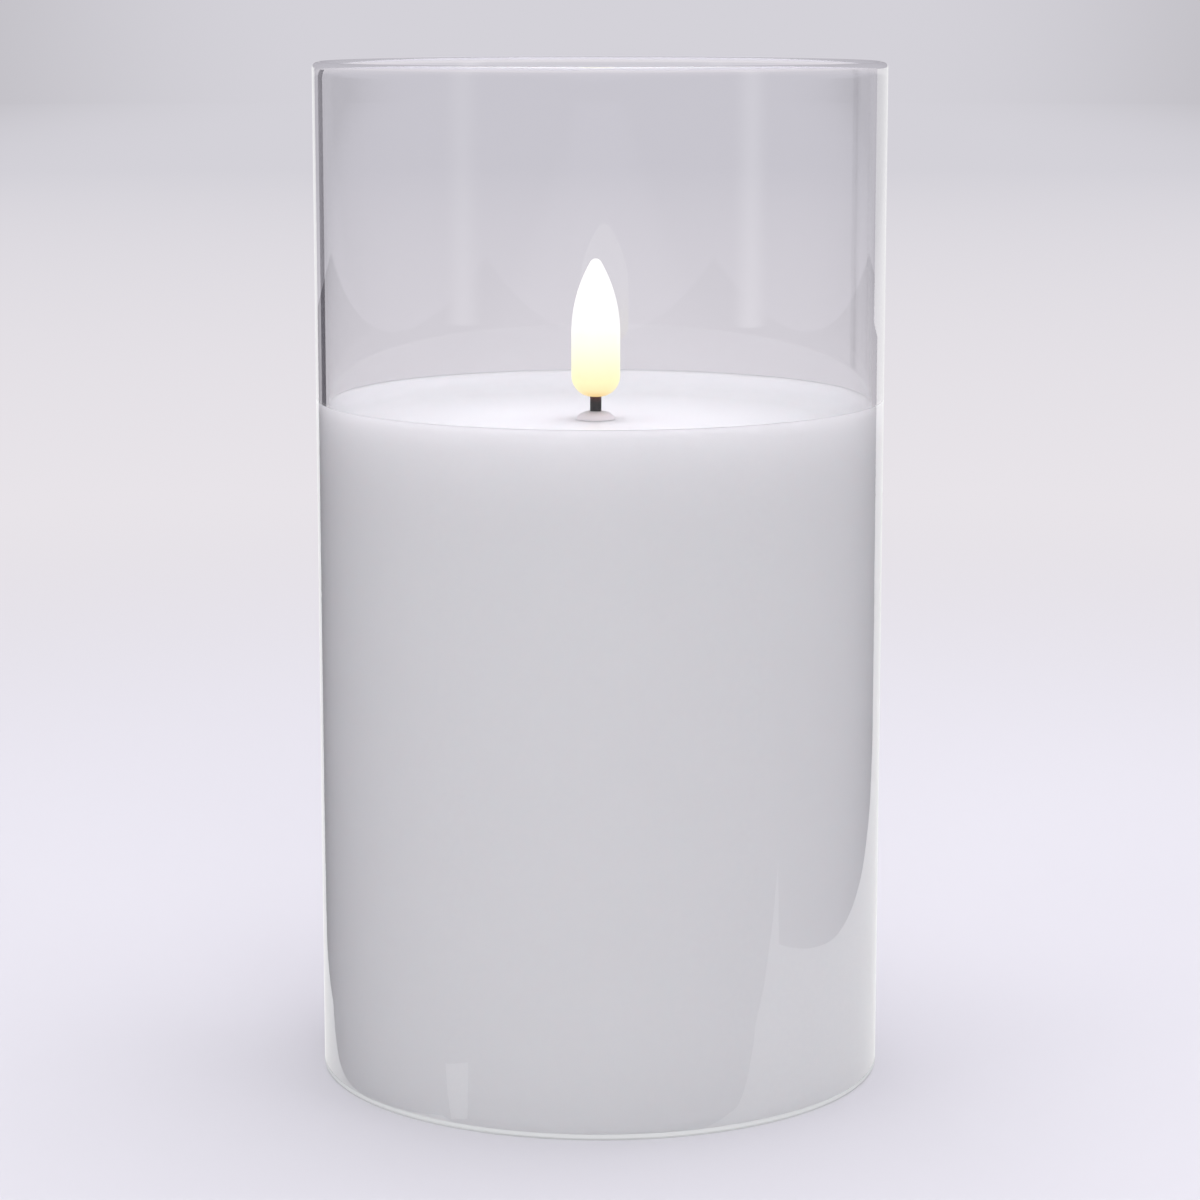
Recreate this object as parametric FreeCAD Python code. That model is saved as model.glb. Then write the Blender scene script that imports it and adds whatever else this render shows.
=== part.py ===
import FreeCAD, Part
import math
import os

# LED candle in glass: a wax candle with a lit flame bulb, held in an open glass cylinder that a
# plastic battery base closes from below.
# Millimetres. Z is up, the origin is the middle of the ring that the glass stands on.
# X points right and Y points to the back, as the candle is seen from the front.

os.makedirs("parts", exist_ok=True)

V = FreeCAD.Vector
Y_AXIS = V(0, 1, 0)
Z_AXIS = V(0, 0, 1)
FULL_TURN = 360.0

# Driving dimensions of the glass cylinder
glass_outer_d = 100.0
glass_height = 179.0
glass_wall = 2.1
glass_foot_bevel = 0.4

# Driving dimensions of the wax candle
wax_crest_height = 120.3
wax_rim_width = 7.4
wax_dish_depth = 3.8
wax_ceiling_thick = 17.0
wax_wall = 14.0
wax_step_gap = 1.5
wax_hollow_draft = 1.0
wax_hollow_bevel = 5.0
wax_foot_width = 1.2

# Driving dimensions of the flame: bulb, lamp, wick sleeve and collar
flame_off_centre = -0.75
bulb_d = 8.6
bulb_height = 24.3
bulb_tip_round = 1.1
bulb_straight_share = 0.31
bulb_bottom_round = 3.7
bulb_wall = 0.9
wick_d = 2.0
wick_bore_d = 1.4
wick_shown = 2.55
wick_sunk = 14.0
lamp_d = 3.0
lamp_flange_d = 3.8
lamp_flange_thick = 0.8
lamp_height = 5.3
collar_d = 7.1
collar_height = 1.45
collar_stem_d = 5.0
collar_stem_proud = 1.6
collar_tip_chamfer = 0.6

# Driving dimensions of the base housing and its battery bay
base_recess = 0.6
plate_thick = 2.4
plate_gap = 0.3
plate_edge_bevel = 0.4
cell_d = 14.3
cell_length = 50.5
cell_pitch = 15.3
cell_side_gap = 0.2
cell_nub_height = 1.1
cell_nub_d = 5.5
cell_flat_d = 9.5
cell_crimp = 0.3
cell_edge_round = 0.5
bay_wall = 1.8
bay_centre_y = -1.5
bay_flange_width = 1.5
bay_flange_thick = 1.4
boss_d = 6.0
boss_inset = 0.8
boss_angles = (-90.0, 40.0, 140.0)
rib_thick = 1.2
rib_height = 2.5
rib_angles = (-150.0, -120.0, -60.0, -30.0)
spigot_height = 3.0
spigot_thick = 1.2

# Driving dimensions of the battery door
door_thick = 2.0
door_lap = 1.2
door_gap = 0.2
door_pin_d = 1.2
door_pin_length = 1.5
pin_clearance = 0.08
tongue_width = 10.0
tongue_length = 9.0
tongue_slot = 0.8
grip_rib_count = 4
grip_rib_height = 0.3
grip_rib_width = 0.6
grip_rib_pitch = 1.5
snap_nib_round = 0.4
snap_nib_proud = 0.12
thumb_notch_r = 6.0
thumb_notch_depth = 1.1

# Driving dimensions of the contacts
contact_thick = 0.4
contact_width = 11.0
contact_height = 11.5
contact_tab_width = 3.0
contact_tab_rise = 1.4
contact_rib = 1.0
spring_wire_d = 0.6
spring_length = 4.0
spring_turns = 3
spring_steps_per_turn = 2
spring_base_d = 8.4
spring_tip_d = 5.2
dimple_d = 5.0
dimple_height = 0.3

# Driving dimensions of the inner cover
cover_wall = 1.5
cover_height = 29.5
cover_bay_gap = 0.3
cover_side_gap = 0.5
cover_round = 1.2
cover_wire_hole_d = 5.0

# Driving dimensions of the circuit board and what it carries
board_length = 28.0
board_width = 14.0
board_thick = 1.2
board_round = 1.0
post_d = 4.5
post_inset = 3.0
switch_length = 12.6
switch_width = 6.6
switch_height = 4.4
switch_shell = 0.5
switch_step = 2.0
switch_inset = 0.7
switch_pin_d = 0.7
switch_pin_pitch = 3.0
switch_pin_count = 4
knob_length = 3.2
knob_width = 3.4
knob_flange_length = 5.4
knob_flange_thick = 1.0
knob_slide_gap = 0.15
knob_tip_recess = 0.3
knob_groove = 0.4
recess_length = 14.0
recess_width = 8.0
recess_depth = 0.8
recess_round = 2.0
chip_length = 5.0
chip_width = 3.9
chip_height = 1.4
chip_leg_count = 4
chip_leg_pitch = 1.27
chip_leg_width = 0.42
chip_leg_reach = 1.0
chip_leg_thick = 0.25
crystal_d = 2.0
crystal_length = 6.0
crystal_lead_d = 0.4
crystal_lead_pitch = 0.8
crystal_lead_length = 2.0
capacitor_d = 4.0
capacitor_height = 6.0
capacitor_groove = 0.3
resistor_length = 3.2
resistor_width = 1.6
resistor_height = 0.6
resistor_pitch = 3.4

# Driving dimensions of screws and wires
cover_screw_d = 2.4
cover_screw_length = 9.0
cover_screw_head_d = 4.6
cover_screw_head_height = 1.5
board_screw_d = 1.8
board_screw_length = 5.0
board_screw_head_d = 3.4
board_screw_head_height = 1.1
screw_slot_width = 0.6
screw_slot_depth = 0.6
screw_clearance = 0.06
screw_hole_clearance = 0.25
lamp_wire_d = 0.6
lamp_wire_pitch = 0.72
battery_wire_d = 1.2
wire_end_gap = 0.05

# Places on the board, as shares of its length and width
chip_x_share = -0.2
crystal_x_share = 0.2
capacitor_x_share = -0.4
resistor_x_share = 0.04
front_row_share = -0.13
pad_front_share = -0.41
lamp_pad_share = 0.06
battery_pad_share = 0.2

# Share of a screw head's height that its bevelled brow takes
screw_brow_share = 0.45

# Shares of a wire's shorter run that its bend takes, and of an edge's length that counts as upright
arc_run_share = 0.45
vertical_share = 0.999

# Shared clearances, and the overrun of every cut
seat_gap = 0.05
loose_gap = 0.3
over = 1.0

# Radii and heights that follow from the driving dimensions
glass_outer_r = glass_outer_d / 2
glass_bore_r = glass_outer_r - glass_wall
wax_r = glass_bore_r
plate_seat_r = wax_r - wax_foot_width
plate_r = plate_seat_r - plate_gap
plate_bottom = base_recess
plate_top = plate_bottom + plate_thick
wax_floor_z = wax_crest_height - wax_dish_depth
wax_ceiling_z = wax_floor_z - wax_ceiling_thick
collar_top_z = wax_floor_z + collar_height
bulb_bottom_z = collar_top_z + wick_shown
bulb_floor_z = bulb_bottom_z + bulb_wall
bulb_floor_round = bulb_bottom_round - bulb_wall
bulb_floor_flat_r = bulb_d / 2 - bulb_wall - bulb_floor_round
lamp_seat_reach = lamp_flange_d / 2 + seat_gap - bulb_floor_flat_r
lamp_seat_z = bulb_floor_z + bulb_floor_round - math.sqrt(bulb_floor_round ** 2 - lamp_seat_reach ** 2)
door_inner_z = plate_bottom + door_thick
ledge_z = door_inner_z + door_gap
cell_r = cell_d / 2
cell_axis_z = door_inner_z + loose_gap + cell_r
bay_length = cell_length + spring_length + 2 * contact_thick + 2 * seat_gap
bay_width = cell_pitch + cell_d + 2 * cell_side_gap
door_length = bay_length + 2 * door_lap
door_width = bay_width + 2 * door_lap
trough_r = cell_r + cell_side_gap
bay_end_x = bay_length / 2
cell_rows = (bay_centre_y - cell_pitch / 2, bay_centre_y + cell_pitch / 2)
bay_roof_z = cell_axis_z + trough_r + bay_wall
hinge_x = -(door_length / 2 - door_thick / 2)
hinge_z = plate_bottom + door_thick / 2
bay_corner_x = bay_end_x + bay_wall
bay_corner_y = abs(bay_centre_y) + bay_width / 2 + bay_wall
board_front_y = bay_centre_y + bay_width / 2 + bay_wall + bay_flange_width + loose_gap
board_centre_y = board_front_y + board_width / 2
board_corner_r = math.hypot(board_length / 2, board_front_y + board_width)
cover_bore_r = max(math.hypot(bay_corner_x, bay_corner_y), board_corner_r) + cover_bay_gap
cover_r = cover_bore_r + cover_wall
cover_top_z = plate_top + cover_height
cover_roof_z = cover_top_z - cover_wall
hollow_r = cover_r + cover_side_gap
wax_step_z = cover_top_z + seat_gap + cover_screw_head_height + wax_step_gap
spigot_r = cover_bore_r - seat_gap
boss_circle_r = cover_bore_r - boss_d / 2 - boss_inset
switch_y = board_front_y + board_width - switch_inset - switch_width / 2
board_bottom_z = plate_top + seat_gap + switch_height
board_top_z = board_bottom_z + board_thick
switch_rest_x = -switch_step
contact_bottom_z = ledge_z + loose_gap
contact_top_z = contact_bottom_z + contact_height
tab_top_z = bay_roof_z + contact_tab_rise


def save(shape, name):
    shape.exportStep("parts/%s.step" % name)
    print("%-20s solids %d  volume %.1f mm3" % (name, len(shape.Solids), shape.Volume))


def box(low, high):
    return Part.makeBox(high[0] - low[0], high[1] - low[1], high[2] - low[2], V(*low))


def block(centre_x, centre_y, length, width, low_z, high_z):
    low = (centre_x - length / 2, centre_y - width / 2, low_z)
    high = (centre_x + length / 2, centre_y + width / 2, high_z)
    return box(low, high)


def rod(radius, start, end):
    along = end - start
    return Part.makeCylinder(radius, along.Length, start, along)


def upright(radius, x, y, low_z, high_z):
    return rod(radius, V(x, y, low_z), V(x, y, high_z))


def line(a, b):
    return Part.LineSegment(a, b).toShape()


def arc(a, middle, b):
    return Part.Arc(a, middle, b).toShape()


def turned(edges):
    """Spin a closed outline in the XZ plane round the Z axis."""
    face = Part.Face(Part.Wire(edges))
    return face.revolve(V(0, 0, 0), Z_AXIS, FULL_TURN)


def polygon_edges(points):
    closed = points + [points[0]]
    return [line(a, b) for a, b in zip(closed, closed[1:])]


def at_angle(radius, degrees):
    turn = math.radians(degrees)
    return radius * math.cos(turn), radius * math.sin(turn)


def round_middle(centre, radius, degrees):
    """A point on a circle in the XZ plane, for the middle of an arc."""
    across, up = at_angle(radius, degrees)
    return V(centre.x + across, 0, centre.z + up)


def vertical_edges(shape):
    picked = []
    for edge in shape.Edges:
        ends = [vertex.Point for vertex in edge.Vertexes]
        if len(ends) < 2:
            continue
        rise = ends[1] - ends[0]
        if abs(rise.z) > 0 and abs(rise.z) >= rise.Length * vertical_share:
            picked.append(edge)
    return picked


def rounded_block(centre_x, centre_y, length, width, low_z, high_z, radius):
    plain = block(centre_x, centre_y, length, width, low_z, high_z)
    return plain.makeFillet(radius, vertical_edges(plain))


def glass_cylinder():
    """Drawn tube with a fire-polished, fully round lip and a ground, bevelled foot."""
    lip_r = glass_wall / 2
    lip = V(glass_bore_r + lip_r, 0, glass_height - lip_r)
    foot = glass_foot_bevel
    outline = [
        line(V(glass_bore_r + foot, 0, 0), V(glass_outer_r - foot, 0, 0)),
        line(V(glass_outer_r - foot, 0, 0), V(glass_outer_r, 0, foot)),
        line(V(glass_outer_r, 0, foot), V(glass_outer_r, 0, lip.z)),
        arc(V(glass_outer_r, 0, lip.z), V(lip.x, 0, glass_height), V(glass_bore_r, 0, lip.z)),
        line(V(glass_bore_r, 0, lip.z), V(glass_bore_r, 0, foot)),
        line(V(glass_bore_r, 0, foot), V(glass_bore_r + foot, 0, 0)),
    ]
    return turned(outline)


def wax_candle():
    """Wax poured against the glass: level floor, rim that climbs the wall, hollow, ring round the plate."""
    crest = V(wax_r, 0, wax_crest_height)
    rim_foot = V(wax_r - wax_rim_width, 0, wax_floor_z)
    rim_round = (wax_rim_width ** 2 + wax_dish_depth ** 2) / (2 * wax_dish_depth)
    rim_centre = V(rim_foot.x, 0, wax_floor_z + rim_round)
    rim_turn = math.degrees(math.asin(wax_rim_width / rim_round))
    mouth_r = hollow_r + wax_hollow_draft
    throat_r = wax_r - wax_wall
    top_r = throat_r - wax_hollow_draft
    ceiling_r = top_r - wax_hollow_bevel
    bevel_z = wax_ceiling_z - wax_hollow_bevel
    outline = [
        line(V(mouth_r, 0, plate_top), V(plate_seat_r, 0, plate_top)),
        line(V(plate_seat_r, 0, plate_top), V(plate_seat_r, 0, plate_bottom)),
        line(V(plate_seat_r, 0, plate_bottom), V(wax_r, 0, plate_bottom)),
        line(V(wax_r, 0, plate_bottom), crest),
        arc(crest, round_middle(rim_centre, rim_round, -90 + rim_turn / 2), rim_foot),
        line(rim_foot, V(0, 0, wax_floor_z)),
        line(V(0, 0, wax_floor_z), V(0, 0, wax_ceiling_z)),
        line(V(0, 0, wax_ceiling_z), V(ceiling_r, 0, wax_ceiling_z)),
        line(V(ceiling_r, 0, wax_ceiling_z), V(top_r, 0, bevel_z)),
        line(V(top_r, 0, bevel_z), V(throat_r, 0, wax_step_z)),
        line(V(throat_r, 0, wax_step_z), V(hollow_r, 0, wax_step_z)),
        line(V(hollow_r, 0, wax_step_z), V(mouth_r, 0, plate_top)),
    ]
    stem_hole_r = collar_stem_d / 2 + seat_gap
    stem_hole = upright(stem_hole_r, flame_off_centre, 0, wax_ceiling_z - over, wax_crest_height + over)
    return turned(outline).cut(stem_hole)


def is_ring(edge, corner):
    """True for the level circle that a corner of the outline sweeps."""
    extent = edge.BoundBox
    level = abs(extent.ZMin - corner.z) < seat_gap and abs(extent.ZMax - corner.z) < seat_gap
    return level and abs(extent.XMax - corner.x) < seat_gap


def bulb_outline(inset):
    """Half outline of the flame shape, drawn in by inset, as edges from the tip to the bottom."""
    r = bulb_d / 2 - inset
    tip = bulb_tip_round
    bottom = bulb_bottom_z + inset
    top = bulb_bottom_z + bulb_height - inset
    corner = bulb_bottom_round - inset
    shoulder_z = bulb_bottom_z + bulb_bottom_round + bulb_height * bulb_straight_share
    reach = top - tip - shoulder_z
    ogive_centre_x = -(reach ** 2 - (r - tip) ** 2) / (2 * (r - tip))
    ogive_r = r - ogive_centre_x
    ogive = V(ogive_centre_x, 0, shoulder_z)
    tip_centre = V(0, 0, top - tip)
    turn = math.degrees(math.atan2(reach, -ogive_centre_x))
    meet = round_middle(ogive, ogive_r, turn)
    corner_centre = V(r - corner, 0, bottom + corner)
    return [
        arc(V(0, 0, top), round_middle(tip_centre, tip, (90 + turn) / 2), meet),
        arc(meet, round_middle(ogive, ogive_r, turn / 2), V(r, 0, shoulder_z)),
        line(V(r, 0, shoulder_z), V(r, 0, corner_centre.z)),
        arc(V(r, 0, corner_centre.z), round_middle(corner_centre, corner, -45), V(corner_centre.x, 0, bottom)),
        line(V(corner_centre.x, 0, bottom), V(0, 0, bottom)),
        line(V(0, 0, bottom), V(0, 0, top)),
    ]


def flame_bulb():
    """Frosted flame-shaped shell with a hole for the wick sleeve in its bottom."""
    shell = turned(bulb_outline(0)).cut(turned(bulb_outline(bulb_wall)))
    shell = shell.cut(upright(wick_d / 2 + seat_gap, 0, 0, bulb_bottom_z - over, bulb_floor_z + over))
    shell.translate(V(flame_off_centre, 0, 0))
    return shell


def flame_lamp():
    """Round-nosed lamp that stands on the sleeve's top inside the bulb."""
    r = lamp_d / 2
    flange_r = lamp_flange_d / 2
    dome_z = lamp_seat_z + lamp_height - r
    step_z = lamp_seat_z + lamp_flange_thick
    outline = [
        line(V(0, 0, lamp_seat_z), V(flange_r, 0, lamp_seat_z)),
        line(V(flange_r, 0, lamp_seat_z), V(flange_r, 0, step_z)),
        line(V(flange_r, 0, step_z), V(r, 0, step_z)),
        line(V(r, 0, step_z), V(r, 0, dome_z)),
        arc(V(r, 0, dome_z), round_middle(V(0, 0, dome_z), r, 45), V(0, 0, dome_z + r)),
        line(V(0, 0, dome_z + r), V(0, 0, lamp_seat_z)),
    ]
    lamp = turned(outline)
    lamp.translate(V(flame_off_centre, 0, 0))
    return lamp


def wick_sleeve():
    """Black sleeve that stands for the wick and carries the lamp's wires."""
    low = collar_top_z - wick_sunk
    outer = upright(wick_d / 2, flame_off_centre, 0, low, lamp_seat_z)
    return outer.cut(upright(wick_bore_d / 2, flame_off_centre, 0, low - over, lamp_seat_z + over))


def wick_collar():
    """Collar on the wax, level at the wick and round to its edge, with a stem through the candle's top."""
    r = collar_d / 2
    stem_r = collar_stem_d / 2
    bore_r = wick_d / 2 + seat_gap
    stem_low = wax_ceiling_z - collar_stem_proud
    reach = r - bore_r
    dome_r = (reach ** 2 + collar_height ** 2) / (2 * collar_height)
    bore_top = V(bore_r, 0, collar_top_z)
    dome_centre = V(bore_r, 0, collar_top_z - dome_r)
    seat_z = wax_floor_z + seat_gap
    edge_turn = math.degrees(math.asin((seat_z - dome_centre.z) / dome_r))
    edge = round_middle(dome_centre, dome_r, edge_turn)
    chamfer = collar_tip_chamfer
    outline = [
        arc(bore_top, round_middle(dome_centre, dome_r, (90 + edge_turn) / 2), edge),
        line(edge, V(stem_r, 0, seat_z)),
        line(V(stem_r, 0, seat_z), V(stem_r, 0, stem_low + chamfer)),
        line(V(stem_r, 0, stem_low + chamfer), V(stem_r - chamfer, 0, stem_low)),
        line(V(stem_r - chamfer, 0, stem_low), V(bore_r, 0, stem_low)),
        line(V(bore_r, 0, stem_low), bore_top),
    ]
    collar = turned(outline)
    collar.translate(V(flame_off_centre, 0, 0))
    return collar


def sealing_bead():
    """Bead of sealant that holds the base plate in the wax's foot ring."""
    low = plate_bottom + plate_edge_bevel
    outer = upright(plate_seat_r, 0, 0, low, plate_top)
    return outer.cut(upright(plate_r, 0, 0, low - over, plate_top + over))


def base_plate_disc():
    disc = upright(plate_r, 0, 0, plate_bottom, plate_top)
    lower_rim = [edge for edge in disc.Edges if is_ring(edge, V(plate_r, 0, plate_bottom))]
    return disc.makeChamfer(plate_edge_bevel, lower_rim)


def bay_outside():
    """Outer form of the battery bay: two round-backed troughs on a flange."""
    length = bay_length + 2 * bay_wall
    flange_length = bay_length + 2 * bay_wall + 2 * bay_flange_width
    flange_width = bay_width + 2 * bay_wall + 2 * bay_flange_width
    outside = rounded_block(0, bay_centre_y, flange_length, flange_width, ledge_z,
                            plate_top + bay_flange_thick, bay_flange_width)
    width = bay_width + 2 * bay_wall
    outside = outside.fuse(block(0, bay_centre_y, length, width, ledge_z, cell_axis_z))
    for row_y in cell_rows:
        back = rod(trough_r + bay_wall, V(-length / 2, row_y, cell_axis_z), V(length / 2, row_y, cell_axis_z))
        outside = outside.fuse(back)
    return outside.common(upright(spigot_r, 0, 0, plate_bottom, cover_top_z))


def bay_inside():
    """Space for the two cells, open below to the door's opening."""
    inside = block(0, bay_centre_y, bay_length, bay_width, plate_bottom - over, cell_axis_z)
    for row_y in cell_rows:
        trough = rod(trough_r, V(-bay_end_x, row_y, cell_axis_z), V(bay_end_x, row_y, cell_axis_z))
        inside = inside.fuse(trough)
    opening = block(0, bay_centre_y, door_length + 2 * door_gap, door_width + 2 * door_gap,
                    plate_bottom - over, ledge_z)
    return inside.fuse(opening)


def contact_guides():
    """Pairs of upright ribs that trap the contact plates against the bay's end walls."""
    guides = []
    slot = contact_thick + 2 * seat_gap
    for side in (-1, 1):
        for row_y in cell_rows:
            for edge in (-1, 1):
                near = row_y + edge * (contact_width / 2 - contact_rib)
                far = row_y + edge * (trough_r + seat_gap)
                start = side * (bay_end_x - slot)
                end = start - side * contact_rib
                low = (min(start, end), min(near, far), cell_axis_z)
                high = (max(start, end), max(near, far), contact_top_z)
                guides.append(box(low, high))
    return guides


def tab_slots():
    """Slots in the bay's roof for the two contact tabs that carry the battery wires."""
    slots = []
    for row_y in cell_rows:
        slot_x = bay_end_x - seat_gap - contact_thick / 2
        slots.append(block(slot_x, row_y, contact_thick + 2 * seat_gap, contact_tab_width + 2 * seat_gap,
                           cell_axis_z, bay_roof_z + over))
    return slots


def hinge_pin(side, radius, length, overlap):
    edge_y = bay_centre_y + side * door_width / 2
    start = V(hinge_x, edge_y - side * overlap, hinge_z)
    return rod(radius, start, V(hinge_x, edge_y + side * length, hinge_z))


def boss_places():
    return [at_angle(boss_circle_r, angle) for angle in boss_angles]


def post_places():
    across = board_length / 2 - post_inset
    back_y = board_centre_y + board_width / 2 - post_inset
    front_y = board_centre_y - board_width / 2 + post_inset
    return [(-across, back_y), (across, front_y)]


def base_housing():
    """Moulded base: round plate, battery bay, screw bosses, board posts, spigot and ribs."""
    housing = base_plate_disc().fuse(bay_outside())
    spigot = upright(spigot_r, 0, 0, plate_top - seat_gap, plate_top + spigot_height)
    spigot = spigot.cut(upright(spigot_r - spigot_thick, 0, 0, plate_bottom, plate_top + spigot_height + over))
    housing = housing.fuse(spigot)
    for x, y in boss_places():
        housing = housing.fuse(upright(boss_d / 2, x, y, plate_top - seat_gap, cover_roof_z))
    for x, y in post_places():
        housing = housing.fuse(upright(post_d / 2, x, y, plate_top - seat_gap, board_bottom_z))
    for angle in rib_angles:
        rib = box((boss_circle_r - boss_d, -rib_thick / 2, plate_top - seat_gap),
                  (spigot_r - spigot_thick / 2, rib_thick / 2, plate_top + rib_height))
        rib.rotate(V(0, 0, 0), Z_AXIS, angle)
        housing = housing.fuse(rib)
    housing = housing.cut(bay_inside())
    for guide in contact_guides():
        housing = housing.fuse(guide)
    for slot in tab_slots():
        housing = housing.cut(slot)
    for side in (-1, 1):
        housing = housing.cut(hinge_pin(side, door_pin_d / 2 + pin_clearance, door_pin_length + door_gap, 0))
    notch_x = door_length / 2 + door_gap
    notch = upright(thumb_notch_r, notch_x, bay_centre_y, plate_bottom - over, plate_bottom + thumb_notch_depth)
    housing = housing.cut(notch)
    pilot_r = cover_screw_d / 2 + screw_clearance
    for x, y in boss_places():
        housing = housing.cut(upright(pilot_r, x, y, cover_roof_z - cover_screw_length, cover_roof_z + over))
    pilot_r = board_screw_d / 2 + screw_clearance
    for x, y in post_places():
        housing = housing.cut(upright(pilot_r, x, y, board_top_z - board_screw_length - seat_gap, board_top_z))
    slot_length = 2 * switch_step + knob_length + 2 * knob_slide_gap
    slot_width = knob_width + 2 * knob_slide_gap
    housing = housing.cut(block(0, switch_y, slot_length, slot_width, plate_bottom - over, plate_top + over))
    recess = rounded_block(0, switch_y, recess_length, recess_width, plate_bottom - over,
                           plate_bottom + recess_depth, recess_round)
    return housing.cut(recess).removeSplitter()


def battery_door():
    """Door plate with a rolled hinge end, two pins, and a springy tongue at the free end."""
    roll_r = door_thick / 2
    free_x = door_length / 2
    plate = box((hinge_x, bay_centre_y - door_width / 2, plate_bottom),
                (free_x, bay_centre_y + door_width / 2, door_inner_z))
    roll = rod(roll_r, V(hinge_x, bay_centre_y - door_width / 2, hinge_z),
               V(hinge_x, bay_centre_y + door_width / 2, hinge_z))
    door = plate.fuse(roll)
    for side in (-1, 1):
        door = door.fuse(hinge_pin(side, door_pin_d / 2, door_pin_length, roll_r))
        slot_y = bay_centre_y + side * (tongue_width + tongue_slot) / 2
        door = door.cut(block(free_x - tongue_length / 2 + over / 2, slot_y, tongue_length + over, tongue_slot,
                              plate_bottom - over, door_inner_z + over))
    for index in range(grip_rib_count):
        rib_x = free_x - grip_rib_pitch * (index + 1)
        door = door.fuse(block(rib_x, bay_centre_y, grip_rib_width, tongue_width - 2 * tongue_slot,
                               plate_bottom - grip_rib_height, plate_bottom + grip_rib_height))
    nib_x = free_x + snap_nib_proud - snap_nib_round
    nib_z = door_inner_z - snap_nib_round
    nib_reach = tongue_width / 2 - tongue_slot
    nib_start = V(nib_x, bay_centre_y - nib_reach, nib_z)
    nib = rod(snap_nib_round, nib_start, V(nib_x, bay_centre_y + nib_reach, nib_z))
    return door.fuse(nib).removeSplitter()


def battery_cell():
    """Round cell along X, with its raised end at +X; the flat end stands at x = 0."""
    can_length = cell_length - cell_nub_height
    r = cell_r
    edge = cell_edge_round
    nub_r = cell_nub_d / 2
    points = [
        V(0, 0, 0),
        V(cell_flat_d / 2, 0, 0),
        V(cell_flat_d / 2, 0, cell_crimp),
        V(r - edge, 0, cell_crimp),
        V(r, 0, cell_crimp + edge),
        V(r, 0, can_length - edge),
        V(r - edge, 0, can_length),
        V(nub_r, 0, can_length),
        V(nub_r, 0, cell_length - edge / 2),
        V(nub_r - edge / 2, 0, cell_length),
        V(0, 0, cell_length),
    ]
    cell = turned(polygon_edges(points))
    cell.rotate(V(0, 0, 0), Y_AXIS, FULL_TURN / 4)
    return cell


def front_cell():
    """Cell of the front row: its raised end meets the contact at the right."""
    cell = battery_cell()
    cell.translate(V(bay_end_x - seat_gap - contact_thick - dimple_height - wire_end_gap - cell_length,
                     cell_rows[0], cell_axis_z))
    return cell


def back_cell():
    """Cell of the back row: turned round, its raised end meets the contact at the left."""
    cell = battery_cell()
    cell.rotate(V(0, 0, 0), Z_AXIS, FULL_TURN / 2)
    cell.translate(V(cell_length - bay_end_x + seat_gap + contact_thick + dimple_height + wire_end_gap,
                     cell_rows[1], cell_axis_z))
    return cell


def cone_point(turns, rise, low_r, high_r):
    """Point and heading of a conical coil along Z after a number of turns."""
    share = turns / spring_turns
    r = low_r + (high_r - low_r) * share
    across, aside = at_angle(r, FULL_TURN * turns)
    grow = (high_r - low_r) / spring_turns / (2 * math.pi)
    heading = V(grow * across / r - aside, grow * aside / r + across, rise / spring_turns / (2 * math.pi))
    return V(across, aside, rise * share), heading.normalize()


def bend(start, knee, end):
    """Arc from start to end whose tangents meet at the knee."""
    half = (end - start).Length / 2
    foot = (start + end) / 2
    height = (knee - foot).Length
    radius = half * (knee - start).Length / height
    sag = radius - math.sqrt(radius ** 2 - half ** 2)
    return arc(start, foot + (knee - foot) * (sag / height), end)


def biarc(start, start_heading, end, end_heading):
    """Two arcs that leave one point and reach another along given headings."""
    chord = end - start
    headings = start_heading + end_heading
    lean = chord.dot(headings)
    spread = 4 - headings.dot(headings)
    reach = (math.sqrt(lean ** 2 + spread * chord.dot(chord)) - lean) / spread
    first_knee = start + start_heading * reach
    last_knee = end - end_heading * reach
    joint = (first_knee + last_knee) / 2
    return [bend(start, first_knee, joint), bend(joint, last_knee, end)]


def contact_spring(side, row_y):
    """Conical spring from the contact at one end of the bay to a cell's flat end."""
    rise = spring_length - dimple_height - wire_end_gap - 2 * seat_gap - spring_wire_d
    low_r = (spring_base_d - spring_wire_d) / 2
    high_r = (spring_tip_d - spring_wire_d) / 2
    steps = spring_turns * spring_steps_per_turn
    stations = [cone_point(index / spring_steps_per_turn, rise, low_r, high_r) for index in range(steps + 1)]
    edges = []
    for (start, start_heading), (end, end_heading) in zip(stations, stations[1:]):
        edges.extend(biarc(start, start_heading, end, end_heading))
    section = Part.Wire(Part.makeCircle(spring_wire_d / 2, stations[0][0], stations[0][1]))
    coil = Part.Wire(edges).makePipeShell([section], True, False)
    print("spring: least gap to itself %.2f mm" % least_coil_gap(stations))
    coil.translate(V(0, 0, spring_wire_d / 2 + seat_gap))
    coil.rotate(V(0, 0, 0), Y_AXIS, -side * FULL_TURN / 4)
    coil.translate(V(side * (bay_end_x - seat_gap - contact_thick), row_y, cell_axis_z))
    return coil


def least_coil_gap(stations):
    """Least clear distance between points of the wire that are half a turn or more apart."""
    apart = spring_steps_per_turn // 2
    distances = []
    for index, (point, heading) in enumerate(stations):
        for other, other_heading in stations[index + apart:]:
            distances.append((other - point).Length)
    return min(distances) - spring_wire_d


def contact_plate(side, row_y, with_dimple):
    """Stamped plate against the bay's end wall; a raised dimple meets a cell's nub."""
    x = side * (bay_end_x - seat_gap - contact_thick / 2)
    plate = block(x, row_y, contact_thick, contact_width, contact_bottom_z, contact_top_z)
    if with_dimple:
        face_x = side * (bay_end_x - seat_gap - contact_thick)
        base_r = dimple_d / 2
        stub = Part.makeCone(base_r, base_r - dimple_height, dimple_height, V(face_x, row_y, cell_axis_z),
                             V(-side, 0, 0))
        plate = plate.fuse(stub)
    return plate


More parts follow.
